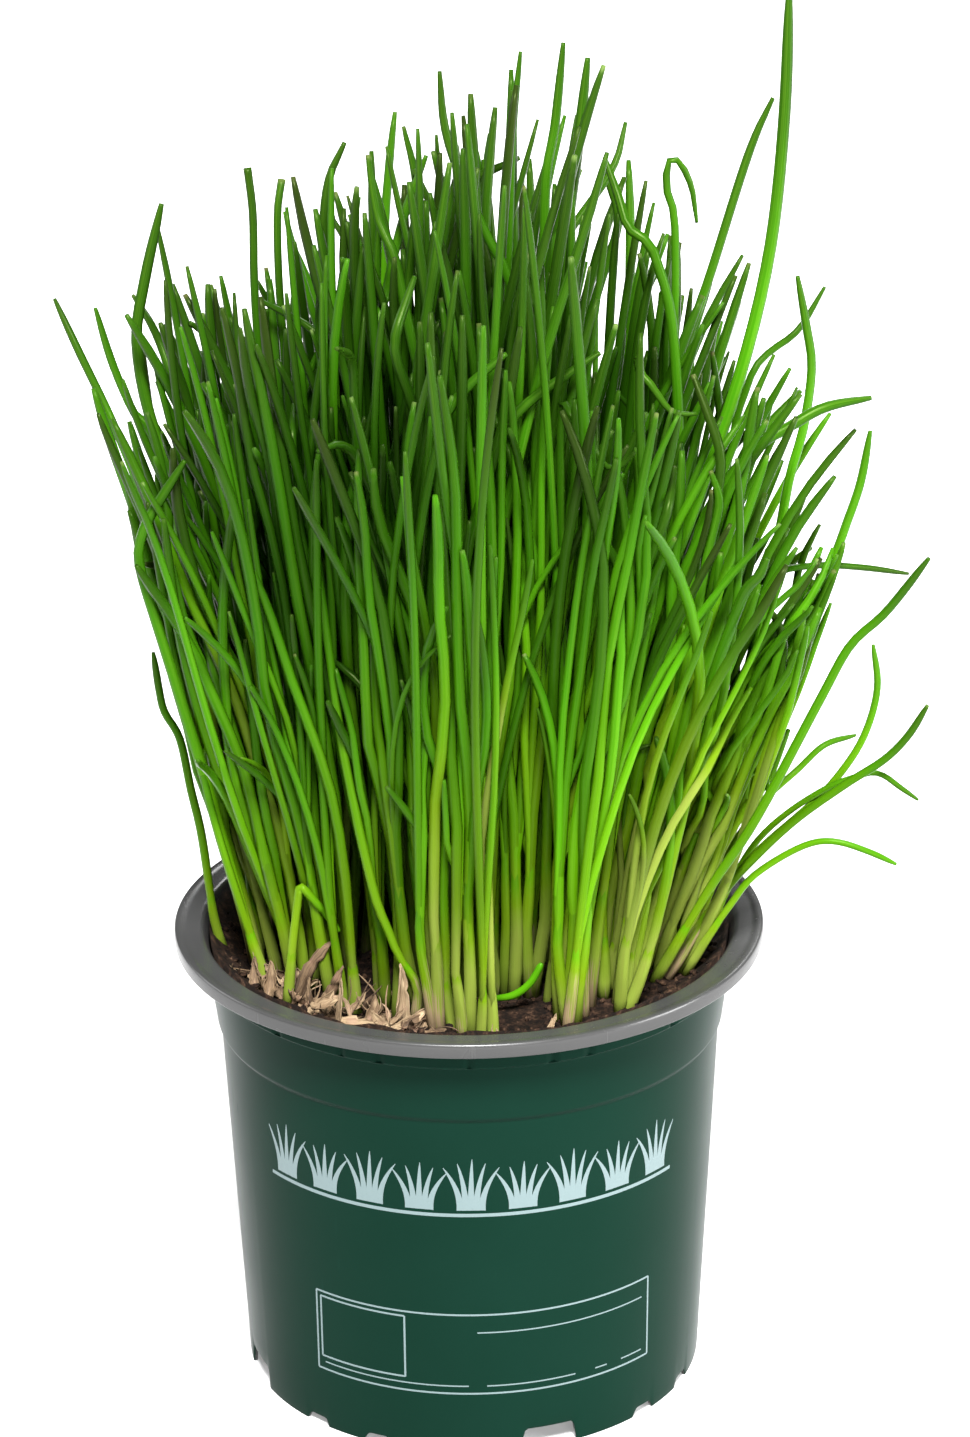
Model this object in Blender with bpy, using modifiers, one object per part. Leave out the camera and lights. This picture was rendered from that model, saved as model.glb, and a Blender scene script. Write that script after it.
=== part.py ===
"""A potted chive plant: a thin plastic herb pot filled with soil, the tufts of tubular
leaves that grow in it, and the dry sheaths and the loose leaf that lie on the soil.

The pot stands on z = 0 with its axis on Z, and its front is towards -Y.
"""

import math
import random

import bmesh
import bpy
from mathutils import Vector

MM = 0.001

# The pot, a turned thin-walled shell with a flange, a collar and a castellated foot.
POT_HEIGHT = 106 * MM
RIM_RADIUS = 65 * MM
LIP_DROP = 3.2 * MM
WALL = 1.0 * MM
COLLAR_TOP_RADIUS = 57.7 * MM
COLLAR_HEIGHT = 22.4 * MM
BAND_HEIGHT = 9 * MM
BAND_STEP = 0.7 * MM
SHOULDER_RADIUS = 56 * MM
BASE_RADIUS = 51 * MM
FOOT_WIDTH = 1.6 * MM
FLOOR_HEIGHT = 7 * MM
POT_STEPS = 64

# The gaps in the foot, and the drain holes in the floor.
QUARTER_TURN = math.pi / 2
WIDE_NOTCH = {"width": 13 * MM, "height": 5 * MM, "angles": [19]}
SMALL_NOTCH = {"width": 6.4 * MM, "height": 2 * MM, "angles": [47.5, 65.5]}
NOTCH_DEPTH = 8 * MM
NOTCH_ROUNDING = 0.45
DRAIN_HOLES = 8
DRAIN_RADIUS = 4 * MM
DRAIN_RING = 36 * MM

# Solids that touch in the real thing are kept this far apart.
GAP = 0.3 * MM

SOIL_TOP = 100 * MM

# The tufts grow on a loose hexagonal grid, with a bare patch at the front left.
TUFT_SPACING = 13.6 * MM
TUFT_FIELD = 50.5 * MM
TUFT_JITTER = 1.3 * MM
GRID_SHIFT = Vector((0.2, 0.3, 0)) * TUFT_SPACING
TUFT_BASE_RADIUS = 4.0 * MM
TUFT_BASE_HEIGHT = 7 * MM
BARE_PATCH = Vector((-24, -43)) * MM
BARE_REACH = 9 * MM
LEAVES_PER_TUFT = 3
LEAF_RADIUS = 1.75 * MM
LEAF_POINTS = 6
GUIDE_POINTS = 9
LEAF_CLEARANCE = 0.55 * MM
LEAF_SPREAD = 8 * MM
TIP_SPREAD = 30 * MM
SAMPLE_STEP = 2 * MM
SEED = 11

# The height of the leaf tips over the width of the plant, in mm.
CANOPY = [(-92, 232), (-70, 258), (-45, 262), (-20, 272), (0, 286), (22, 288),
          (42, 276), (58, 246), (74, 226), (92, 185)]

# The leaves that give the plant its outline: their points from low to tip, in mm.
# Each one rises out of the tuft that grows nearest to its first point.
GUIDE_LEAVES = {
    "tallest": [(30, -24, 140), (42, -18, 194), (58, -10, 236), (66, -2, 280), (68, 4, 312)],
    "tall_right": [(34, 7, 150), (43, 8, 225), (57, 15, 264), (66, 20, 285)],
    "high_middle": [(17, 10, 190), (23, 16, 260), (27, 20, 294)],
    "high_back": [(12, 22, 190), (18, 24, 262), (22, 25, 296)],
    "bowed_top": [(12, 2, 190), (8, 4, 257), (1, 7, 272), (-4, 10, 294)],
    "left_bow": [(-50, -7, 165), (-65, -5, 222), (-67, -2, 250), (-62, 0, 269)],
    "far_left": [(-58, 5, 165), (-68, 14, 196), (-78, 24, 219), (-91.5, 38, 239)],
    "right_reach": [(50, -24, 190), (60, -22, 220), (72, -19, 229), (85, -15, 231)],
    "right_lean": [(56, 23, 150), (77, 22, 190), (88, 20, 211)],
    "front_right": [(54, -27, 124), (68, -32, 156), (80, -36, 183), (94, -43, 206)],
    "low_right": [(53, -12, 118), (73, -15, 137), (86, -18, 152), (92, -20, 163)],
    "lowest_right": [(54, -3, 113), (72, -8, 131), (86, -16, 129), (91, -20, 126)],
    "left_low": [(-55, -5, 116), (-61, -8, 148), (-67, -12, 171)],
    "front_bow": [(-8, -50, 150), (-13, -66, 190), (-14, -79, 203)],
    "back_bow": [(6, 52, 160), (10, 68, 216), (10, 77, 236)],
}

# The loose piece of leaf on the soil: its points in mm.
LOOSE_LEAF = [(7.7, -37, 102.6), (11, -37.4, 104), (14.6, -37.4, 108), (17.4, -37, 114)]
LOOSE_LEAF_RADIUS = 1.1 * MM

# The dry sheaths on the soil: the wide end of each and its tip, in mm.
DRY_SHEATHS = {
    "dry_sheath_1": [(-24, -38, 103), (-26, -43, 113)],
    "dry_sheath_2": [(-26, -46.5, 102.8), (-36, -41.5, 105)],
    "dry_sheath_3": [(-20, -48.5, 102.8), (-10, -49.5, 104)],
    "dry_sheath_4": [(-42, -33, 102.8), (-35, -38, 104.5)],
    "dry_sheath_5": [(-47, -20, 102.8), (-44, -29, 106)],
}
SHEATH_WIDTH = 4.6 * MM
SHEATH_THICKNESS = 2.2 * MM


# The scene, collections and materials.

def clear_scene():
    for obj in list(bpy.data.objects):
        bpy.data.objects.remove(obj, do_unlink=True)


def new_collection(name):
    collection = bpy.data.collections.new(name)
    bpy.context.scene.collection.children.link(collection)
    return collection


def new_material(name, colour, roughness):
    material = bpy.data.materials.new(name)
    material.use_nodes = True
    shader = material.node_tree.nodes["Principled BSDF"]
    shader.inputs["Base Color"].default_value = (*colour, 1)
    shader.inputs["Roughness"].default_value = roughness
    shader.inputs["Metallic"].default_value = 0
    material.diffuse_color = (*colour, 1)
    return material


def add_mesh(name, mesh, collection, material=None):
    obj = bpy.data.objects.new(name, mesh)
    collection.objects.link(obj)
    if material:
        mesh.materials.clear()
        mesh.materials.append(material)
    return obj


def add_cutter(name, mesh, cutters):
    cutter = add_mesh(name, mesh, cutters)
    cutter.display_type = "WIRE"
    cutter.hide_render = True
    return cutter


def add_boolean(obj, cutter, operation):
    modifier = obj.modifiers.new(cutter.name, "BOOLEAN")
    modifier.operation = operation
    modifier.object = cutter
    modifier.solver = "EXACT"
    modifier.use_self = operation == "UNION"


def mesh_from_bmesh(name, bm):
    mesh = bpy.data.meshes.new(name)
    bm.to_mesh(mesh)
    bm.free()
    return mesh


def turned(name, profile, steps, collection, material):
    """A solid turned about Z from a profile that runs down its outer side."""
    bm = bmesh.new()
    verts = [bm.verts.new((radius, 0, height)) for radius, height in profile]
    for low, high in zip(verts, verts[1:]):
        bm.edges.new((low, high))
    obj = add_mesh(name, mesh_from_bmesh(name, bm), collection, material)
    screw = obj.modifiers.new("Turn", "SCREW")
    screw.axis = "Z"
    screw.steps = steps
    screw.render_steps = steps
    screw.use_merge_vertices = True
    screw.merge_threshold = 0.00001
    return obj


# The pot and the soil.

def outer_radius(height):
    """The outside of the tapered wall, below the collar."""
    shoulder = POT_HEIGHT - COLLAR_HEIGHT
    return BASE_RADIUS + (SHOULDER_RADIUS - BAND_STEP - BASE_RADIUS) * height / shoulder


def pot_profile():
    """From the middle of the floor inside, up, over the rim, down and under the floor."""
    shoulder = POT_HEIGHT - COLLAR_HEIGHT
    floor_top = FLOOR_HEIGHT + WALL
    band = COLLAR_TOP_RADIUS + BAND_STEP
    lip_foot = POT_HEIGHT - LIP_DROP
    foot_inside = BASE_RADIUS - FOOT_WIDTH
    return [
        (0, floor_top),
        (outer_radius(floor_top) - WALL, floor_top),
        (outer_radius(shoulder) - WALL, shoulder - WALL),
        (SHOULDER_RADIUS - WALL, shoulder),
        (COLLAR_TOP_RADIUS - WALL, POT_HEIGHT - BAND_HEIGHT),
        (band - WALL, POT_HEIGHT - 2 * MM),
        (band + 1.1 * MM, POT_HEIGHT - 0.2 * MM),
        (RIM_RADIUS - 1.2 * MM, POT_HEIGHT),
        (RIM_RADIUS - 0.2 * MM, POT_HEIGHT - 0.6 * MM),
        (RIM_RADIUS, lip_foot),
        (RIM_RADIUS - WALL, lip_foot),
        (RIM_RADIUS - 1.3 * MM, POT_HEIGHT - 1.2 * MM),
        (band + 1.2 * MM, POT_HEIGHT - 1.4 * MM),
        (band, POT_HEIGHT - 2.6 * MM),
        (band, POT_HEIGHT - BAND_HEIGHT),
        (COLLAR_TOP_RADIUS, POT_HEIGHT - BAND_HEIGHT - 0.4 * MM),
        (SHOULDER_RADIUS, shoulder),
        (outer_radius(shoulder), shoulder - 0.5 * MM),
        (BASE_RADIUS, 0),
        (foot_inside, 0),
        (foot_inside, FLOOR_HEIGHT),
        (0, FLOOR_HEIGHT),
    ]


def facing(angle, radius):
    """The point at this radius, turned from the front towards +X."""
    return Vector((radius * math.sin(angle), -radius * math.cos(angle), 0))


def notch_cutter(name, notch, cutters):
    """Round-topped blocks that cut one kind of gap into the foot, four times round."""
    bm = bmesh.new()
    for start in notch["angles"]:
        for quarter in range(4):
            angle = math.radians(start) + quarter * QUARTER_TURN
            block = bmesh.ops.create_cube(bm, size=1)["verts"]
            size = (notch["width"], NOTCH_DEPTH, 2 * notch["height"])
            bmesh.ops.scale(bm, vec=size, verts=block)
            corners = [edge for edge in {e for v in block for e in v.link_edges}
                       if abs((edge.verts[0].co - edge.verts[1].co).y) > NOTCH_DEPTH / 2]
            rounded = bmesh.ops.bevel(bm, geom=corners, segments=2, profile=0.5,
                                      offset=NOTCH_ROUNDING * notch["height"],
                                      offset_type="OFFSET", affect="EDGES", material=-1)
            block = list({v for face in rounded["faces"] for v in face.verts}
                         | {v for v in block if v.is_valid})
            bmesh.ops.rotate(bm, cent=(0, 0, 0), verts=block,
                             matrix=Vector((0, -1, 0)).rotation_difference(
                                 facing(angle, 1)).to_matrix())
            bmesh.ops.translate(bm, vec=facing(angle, BASE_RADIUS - 1 * MM), verts=block)
    return add_cutter(name, mesh_from_bmesh(name, bm), cutters)


def drain_cutter(cutters):
    bm = bmesh.new()
    for hole in range(DRAIN_HOLES):
        angle = 2 * math.pi * (hole + 0.5) / DRAIN_HOLES
        pin = bmesh.ops.create_cone(bm, cap_ends=True, segments=12, radius1=DRAIN_RADIUS,
                                    radius2=DRAIN_RADIUS, depth=6 * WALL)["verts"]
        place = facing(angle, DRAIN_RING) + Vector((0, 0, FLOOR_HEIGHT + WALL / 2))
        bmesh.ops.translate(bm, vec=place, verts=pin)
    return add_cutter("drain_cutter", mesh_from_bmesh("drain_cutter", bm), cutters)


def make_pot(parts, cutters, material):
    pot = turned("pot", pot_profile(), POT_STEPS, parts, material)
    add_boolean(pot, notch_cutter("wide_notch_cutter", WIDE_NOTCH, cutters), "DIFFERENCE")
    add_boolean(pot, notch_cutter("small_notch_cutter", SMALL_NOTCH, cutters), "DIFFERENCE")
    add_boolean(pot, drain_cutter(cutters), "DIFFERENCE")


def make_soil(parts, material):
    shoulder = POT_HEIGHT - COLLAR_HEIGHT
    floor_top = FLOOR_HEIGHT + WALL + GAP
    edge = SHOULDER_RADIUS - WALL - 2 * GAP
    profile = [
        (0, SOIL_TOP),
        (edge + 0.9 * MM, SOIL_TOP),
        (edge, shoulder),
        (outer_radius(shoulder) - WALL - 2 * GAP, shoulder - 2 * WALL),
        (outer_radius(floor_top) - WALL - 2 * GAP, floor_top),
        (0, floor_top),
    ]
    turned("soil", profile, POT_STEPS, parts, material)


# The paths of leaves.

def curve_point(points, place):
    """A point on the smooth curve through all the points, with place from 0 to 1."""
    spans = len(points) - 1
    span = min(int(place * spans), spans - 1)
    t = place * spans - span
    start, end = points[span], points[span + 1]
    before = points[span - 1] if span > 0 else 2 * start - end
    after = points[span + 2] if span + 2 < len(points) else 2 * end - start
    return 0.5 * (2 * start + (end - before) * t
                  + (2 * before - 5 * start + 4 * end - after) * t ** 2
                  + (3 * start - before - 3 * end + after) * t ** 3)


def smooth_path(points, count):
    return [curve_point(points, step / (count - 1)) for step in range(count)]


def leaf_width(place):
    """A leaf's radius from its root, 0, to its tip, 1, against its widest."""
    if place < 0.5:
        return 0.85 + 0.3 * place
    return 1 - 0.78 * ((place - 0.5) / 0.5) ** 2.2


def run_samples(start, end):
    """Close points along a straight run, each with its share of the run."""
    pieces = max(1, math.ceil((end - start).length / SAMPLE_STEP))
    return [(start.lerp(end, piece / pieces), piece / pieces) for piece in range(pieces + 1)]


def leaf_samples(path, radius):
    """Close points along a leaf, each with the leaf's radius there."""
    runs = len(path) - 1
    return [(point, radius * leaf_width((run + share) / runs))
            for run, (start, end) in enumerate(zip(path, path[1:]))
            for point, share in run_samples(start, end)]


def rod_samples(start, end, radius):
    return [(point, radius) for point, _ in run_samples(start, end)]


class Crowd:
    """The space that is taken, by owner, so that neighbours stay clear of each other."""

    cell = 5 * MM

    def __init__(self):
        self.cells = {}

    def key(self, point):
        return tuple(int(math.floor(value / self.cell)) for value in point)

    def add(self, owner, points):
        for point, radius in points:
            self.cells.setdefault(self.key(point), []).append((point, radius, owner))

    def is_clear(self, owner, points):
        for point, radius in points:
            x, y, z = self.key(point)
            for dx in (-1, 0, 1):
                for dy in (-1, 0, 1):
                    for dz in (-1, 0, 1):
                        for other, width, name in self.cells.get((x + dx, y + dy, z + dz), ()):
                            if name == owner:
                                continue
                            if (other - point).length < radius + width + LEAF_CLEARANCE:
                                return False
        return True


def canopy_height(x):
    """The height of the leaf tips at this place across the plant."""
    across = x / MM
    for (left, low), (right, high) in zip(CANOPY, CANOPY[1:]):
        if across <= right:
            share = max(0, (across - left) / (right - left))
            return (low + (high - low) * share) * MM
    return CANOPY[-1][1] * MM


# The tufts.

def tuft_sites(rng):
    """Where the tufts grow: a loose hexagonal grid inside the pot."""
    sites = []
    rows = int(TUFT_FIELD / TUFT_SPACING) + 2
    row_height = TUFT_SPACING * math.sqrt(3) / 2
    for row in range(-rows, rows + 1):
        for column in range(-rows, rows + 1):
            spot = Vector(((column + 0.5 * (row % 2)) * TUFT_SPACING, row * row_height, 0))
            shift = Vector((rng.uniform(-1, 1), rng.uniform(-1, 1), 0)) * TUFT_JITTER
            site = spot + GRID_SHIFT + shift
            if site.length < TUFT_FIELD and (site.xy - BARE_PATCH).length > BARE_REACH:
                sites.append(site)
    return sites


def tuft_root(site):
    return Vector((site.x, site.y, SOIL_TOP + GAP + 2 * MM))


def guide_path(site, points):
    root = tuft_root(site)
    path = [Vector(point) * MM for point in points]
    neck = root + Vector((0, 0, TUFT_BASE_HEIGHT))
    return smooth_path([root, neck.lerp(path[0], 0.1), *path], GUIDE_POINTS)


def random_path(site, rng):
    """A leaf that rises from its tuft and leans away from the pot's axis."""
    turn = rng.uniform(0, 2 * math.pi)
    root = tuft_root(site) + Vector((math.cos(turn), math.sin(turn), 0)) * 1.6 * MM
    lean = 1.42 + 0.12 * rng.uniform(-1, 1)
    reach = Vector((math.cos(turn), math.sin(turn), 0)) * rng.uniform(0.3, 1) * LEAF_SPREAD
    tip = Vector((site.x, site.y, 0)) * lean + reach
    tip.z = SOIL_TOP + (canopy_height(tip.x) - SOIL_TOP) * rng.uniform(0.66, 0.97)
    middle = root.lerp(tip, 0.5)
    middle.x = root.x + (tip.x - root.x) * 0.36
    middle.y = root.y + (tip.y - root.y) * 0.36
    return smooth_path([root, middle, tip], LEAF_POINTS)


def leaf_mesh(name, path, radius):
    """A closed tube along the path, with the width of a leaf."""
    curve = bpy.data.curves.new(name, "CURVE")
    curve.dimensions = "3D"
    curve.fill_mode = "FULL"
    curve.bevel_depth = radius
    curve.bevel_resolution = 1
    curve.use_fill_caps = True
    spline = curve.splines.new("POLY")
    spline.points.add(len(path) - 1)
    for step, (point, place) in enumerate(zip(spline.points, path)):
        point.co = (*place, 1)
        point.radius = leaf_width(step / (len(path) - 1))
    obj = bpy.data.objects.new(name, curve)
    bpy.context.scene.collection.objects.link(obj)
    mesh = bpy.data.meshes.new_from_object(
        obj.evaluated_get(bpy.context.evaluated_depsgraph_get()))
    bpy.data.objects.remove(obj)
    bpy.data.curves.remove(curve)
    bm = bmesh.new()
    bm.from_mesh(mesh)
    bmesh.ops.remove_doubles(bm, verts=bm.verts, dist=0.000001)
    bm.to_mesh(mesh)
    bm.free()
    mesh.name = name
    return mesh


def tuft_base_mesh(name, site):
    """The swollen foot of a tuft, which its leaves grow out of."""
    bm = bmesh.new()
    bmesh.ops.create_cone(bm, cap_ends=True, segments=8, radius1=TUFT_BASE_RADIUS,
                          radius2=0.7 * TUFT_BASE_RADIUS, depth=TUFT_BASE_HEIGHT)
    lift = SOIL_TOP + GAP + TUFT_BASE_HEIGHT / 2
    bmesh.ops.translate(bm, vec=(site.x, site.y, lift), verts=bm.verts)
    return mesh_from_bmesh(name, bm)


def near_together(paths, path):
    """Whether the leaf's tip is near those of the leaves that its tuft has already."""
    return all((path[-1] - other[-1]).length < TIP_SPREAD for other in paths)


def plan_tufts(crowd):
    """Each tuft's site and leaf paths, with every tuft clear of the others."""
    rng = random.Random(SEED)
    tufts = [{"name": f"tuft_{number:02d}", "site": site, "paths": []}
             for number, site in enumerate(tuft_sites(rng), 1)]
    for tuft in tufts:
        foot = tuft["site"] + Vector((0, 0, SOIL_TOP))
        top = foot + Vector((0, 0, TUFT_BASE_HEIGHT))
        crowd.add(tuft["name"], rod_samples(foot, top, TUFT_BASE_RADIUS))
    for name, points in GUIDE_LEAVES.items():
        foot = Vector(points[0]).xy * MM
        near = sorted(tufts, key=lambda tuft: (tuft["site"].xy - foot).length)
        for tuft in near:
            path = guide_path(tuft["site"], points)
            if not near_together(tuft["paths"], path):
                continue
            if crowd.is_clear(tuft["name"], leaf_samples(path, LEAF_RADIUS)):
                break
        else:
            raise RuntimeError(f"the guide leaf {name} finds no clear way")
        tuft["paths"].append(path)
        crowd.add(tuft["name"], leaf_samples(path, LEAF_RADIUS))
    return tufts, rng


def fill_tufts(tufts, crowd, rng):
    """More leaves in each tuft, wherever they find a clear way up."""
    for tuft in tufts:
        for _ in range(400):
            if len(tuft["paths"]) == LEAVES_PER_TUFT:
                break
            path = random_path(tuft["site"], rng)
            if not near_together(tuft["paths"], path):
                continue
            if crowd.is_clear(tuft["name"], leaf_samples(path, LEAF_RADIUS)):
                tuft["paths"].append(path)
                crowd.add(tuft["name"], leaf_samples(path, LEAF_RADIUS))


def make_tuft(tuft, parts, cutters, material):
    name = tuft["name"]
    obj = add_mesh(name, tuft_base_mesh(name, tuft["site"]), parts, material)
    for number, path in enumerate(tuft["paths"], 1):
        leaf = f"{name}_leaf_{number}"
        add_boolean(obj, add_cutter(leaf, leaf_mesh(leaf, path, LEAF_RADIUS), cutters), "UNION")


# What lies on the soil.

def make_dry_sheath(name, start, end, parts, material):
    """A flattened, pointed husk from its wide end to its tip."""
    bm = bmesh.new()
    bmesh.ops.create_cone(bm, cap_ends=True, segments=8, radius1=0.5, radius2=0.12, depth=1)
    size = (SHEATH_WIDTH, SHEATH_THICKNESS, (end - start).length)
    bmesh.ops.scale(bm, vec=size, verts=bm.verts)
    obj = add_mesh(name, mesh_from_bmesh(name, bm), parts, material)
    obj.location = (start + end) / 2
    obj.rotation_mode = "QUATERNION"
    obj.rotation_quaternion = (end - start).to_track_quat("Z", "Y")


def main():
    clear_scene()
    parts = new_collection("potted_chives")
    cutters = new_collection("cutters")
    pot_green = new_material("pot_plastic", (0.02, 0.065, 0.045), 0.45)
    soil_brown = new_material("soil", (0.03, 0.018, 0.01), 0.95)
    leaf_green = new_material("chive_leaf", (0.1, 0.3, 0.02), 0.4)
    husk_brown = new_material("dry_sheath", (0.5, 0.38, 0.22), 0.8)
    cut_green = new_material("loose_leaf", (0.2, 0.4, 0.04), 0.5)

    make_pot(parts, cutters, pot_green)
    make_soil(parts, soil_brown)

    crowd = Crowd()
    path = smooth_path([Vector(point) * MM for point in LOOSE_LEAF], LEAF_POINTS)
    crowd.add("loose_leaf", leaf_samples(path, LOOSE_LEAF_RADIUS))
    add_mesh("loose_leaf", leaf_mesh("loose_leaf", path, LOOSE_LEAF_RADIUS), parts, cut_green)
    for name, points in DRY_SHEATHS.items():
        start, end = [Vector(point) * MM for point in points]
        crowd.add(name, rod_samples(start, end, SHEATH_WIDTH / 2))
        make_dry_sheath(name, start, end, parts, husk_brown)

    tufts, rng = plan_tufts(crowd)
    fill_tufts(tufts, crowd, rng)
    for tuft in tufts:
        make_tuft(tuft, parts, cutters, leaf_green)


main()
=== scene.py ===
"""The looks of a potted chive plant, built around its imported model.

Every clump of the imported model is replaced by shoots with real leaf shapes, and the pot,
the soil and what lies on it get their finished forms. Sizes are in metres unless a name
or a comment says mm.
"""

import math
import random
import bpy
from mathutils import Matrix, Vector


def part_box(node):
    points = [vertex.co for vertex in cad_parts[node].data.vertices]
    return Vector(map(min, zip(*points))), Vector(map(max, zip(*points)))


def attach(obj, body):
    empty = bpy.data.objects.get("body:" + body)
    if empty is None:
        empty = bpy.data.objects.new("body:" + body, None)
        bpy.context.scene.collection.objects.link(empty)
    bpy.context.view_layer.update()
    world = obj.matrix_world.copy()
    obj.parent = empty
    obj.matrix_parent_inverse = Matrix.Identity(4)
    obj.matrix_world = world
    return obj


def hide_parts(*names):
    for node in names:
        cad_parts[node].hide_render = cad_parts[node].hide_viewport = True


bl_info = {
    "name": "Potted Chives",
    "version": (1, 0, 0),
    "blender": (4, 5, 0),
    "location": "3D View > Sidebar > Chives",
    "description": "Builds a chive plant in a plastic herb pot, with its floor, lights and camera",
    "category": "Add Mesh",
}

from dataclasses import dataclass

import bmesh
import bpy
import numpy as np
from bpy.props import FloatProperty, FloatVectorProperty, IntProperty, PointerProperty
from mathutils import Matrix, Vector, noise

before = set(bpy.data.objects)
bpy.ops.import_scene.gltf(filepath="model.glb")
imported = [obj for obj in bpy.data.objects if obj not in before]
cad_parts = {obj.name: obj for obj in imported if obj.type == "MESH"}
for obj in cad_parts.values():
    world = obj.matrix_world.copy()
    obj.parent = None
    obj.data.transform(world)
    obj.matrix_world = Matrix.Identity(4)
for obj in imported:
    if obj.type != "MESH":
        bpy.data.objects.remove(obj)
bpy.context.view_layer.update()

MM = 0.001
FULL_TURN = 2 * math.pi

# Steps of the golden ratio, each kept between 0 and 1, spread any number of values evenly.
GOLDEN = 0.618034

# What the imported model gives: the pot, the soil in it and the names of the other nodes.
POT_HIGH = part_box("pot")[1]
SOIL_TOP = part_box("soil")[1].z
TUFTS = sorted(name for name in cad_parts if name.startswith("tuft_"))
HUSKS = sorted(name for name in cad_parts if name.startswith("dry_sheath_"))

# Where the loose piece of leaf lies, in mm.
FALLEN = [(4.8, -36.4, 103), (9.4, -37.4, 104.2), (13, -37.4, 107), (15.6, -37, 111.5)]

# The turned outline of the pot, in mm: heights below the rim, radii inside its edge.
RIM_RADIUS = POT_HIGH.x / MM
RIM_HEIGHT = POT_HIGH.z / MM
COLLAR_RADIUS = RIM_RADIUS - 7.3
SHOULDER_RADIUS = RIM_RADIUS - 9
BASE_RADIUS = RIM_RADIUS - 14
SHOULDER_HEIGHT = RIM_HEIGHT - 22.4
WALL_TOP_RADIUS = SHOULDER_RADIUS - 0.75
BAND_FOOT = RIM_HEIGHT - 9.2
BAND_TOP = RIM_HEIGHT - 3.2
FLOOR_HEIGHT = 7
POT_COLUMNS = 480

# The flare just above the foot: how far the wall stands out, and how high, in mm.
FOOT_FLARE = ((0.13, 2.2), (0.3, 5.5), (0.45, 9))

# The gaps in the foot: their middles and half widths in degrees, from the front towards
# +X, and their heights in mm.
WIDE_GAPS = {"angles": [19 + 90 * turn for turn in range(4)], "half": 7.2, "height": 5}
SMALL_GAPS = {"angles": [start + 90 * turn for start in (47.5, 65.5) for turn in range(4)],
              "half": 3.5, "height": 2}

# The height of the leaf tips across the plant, both in mm.
CANOPY = [(-92, 232), (-70, 258), (-45, 266), (-20, 276), (0, 288), (22, 290),
          (42, 278), (58, 257), (74, 246), (88, 232), (98, 200)]

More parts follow.
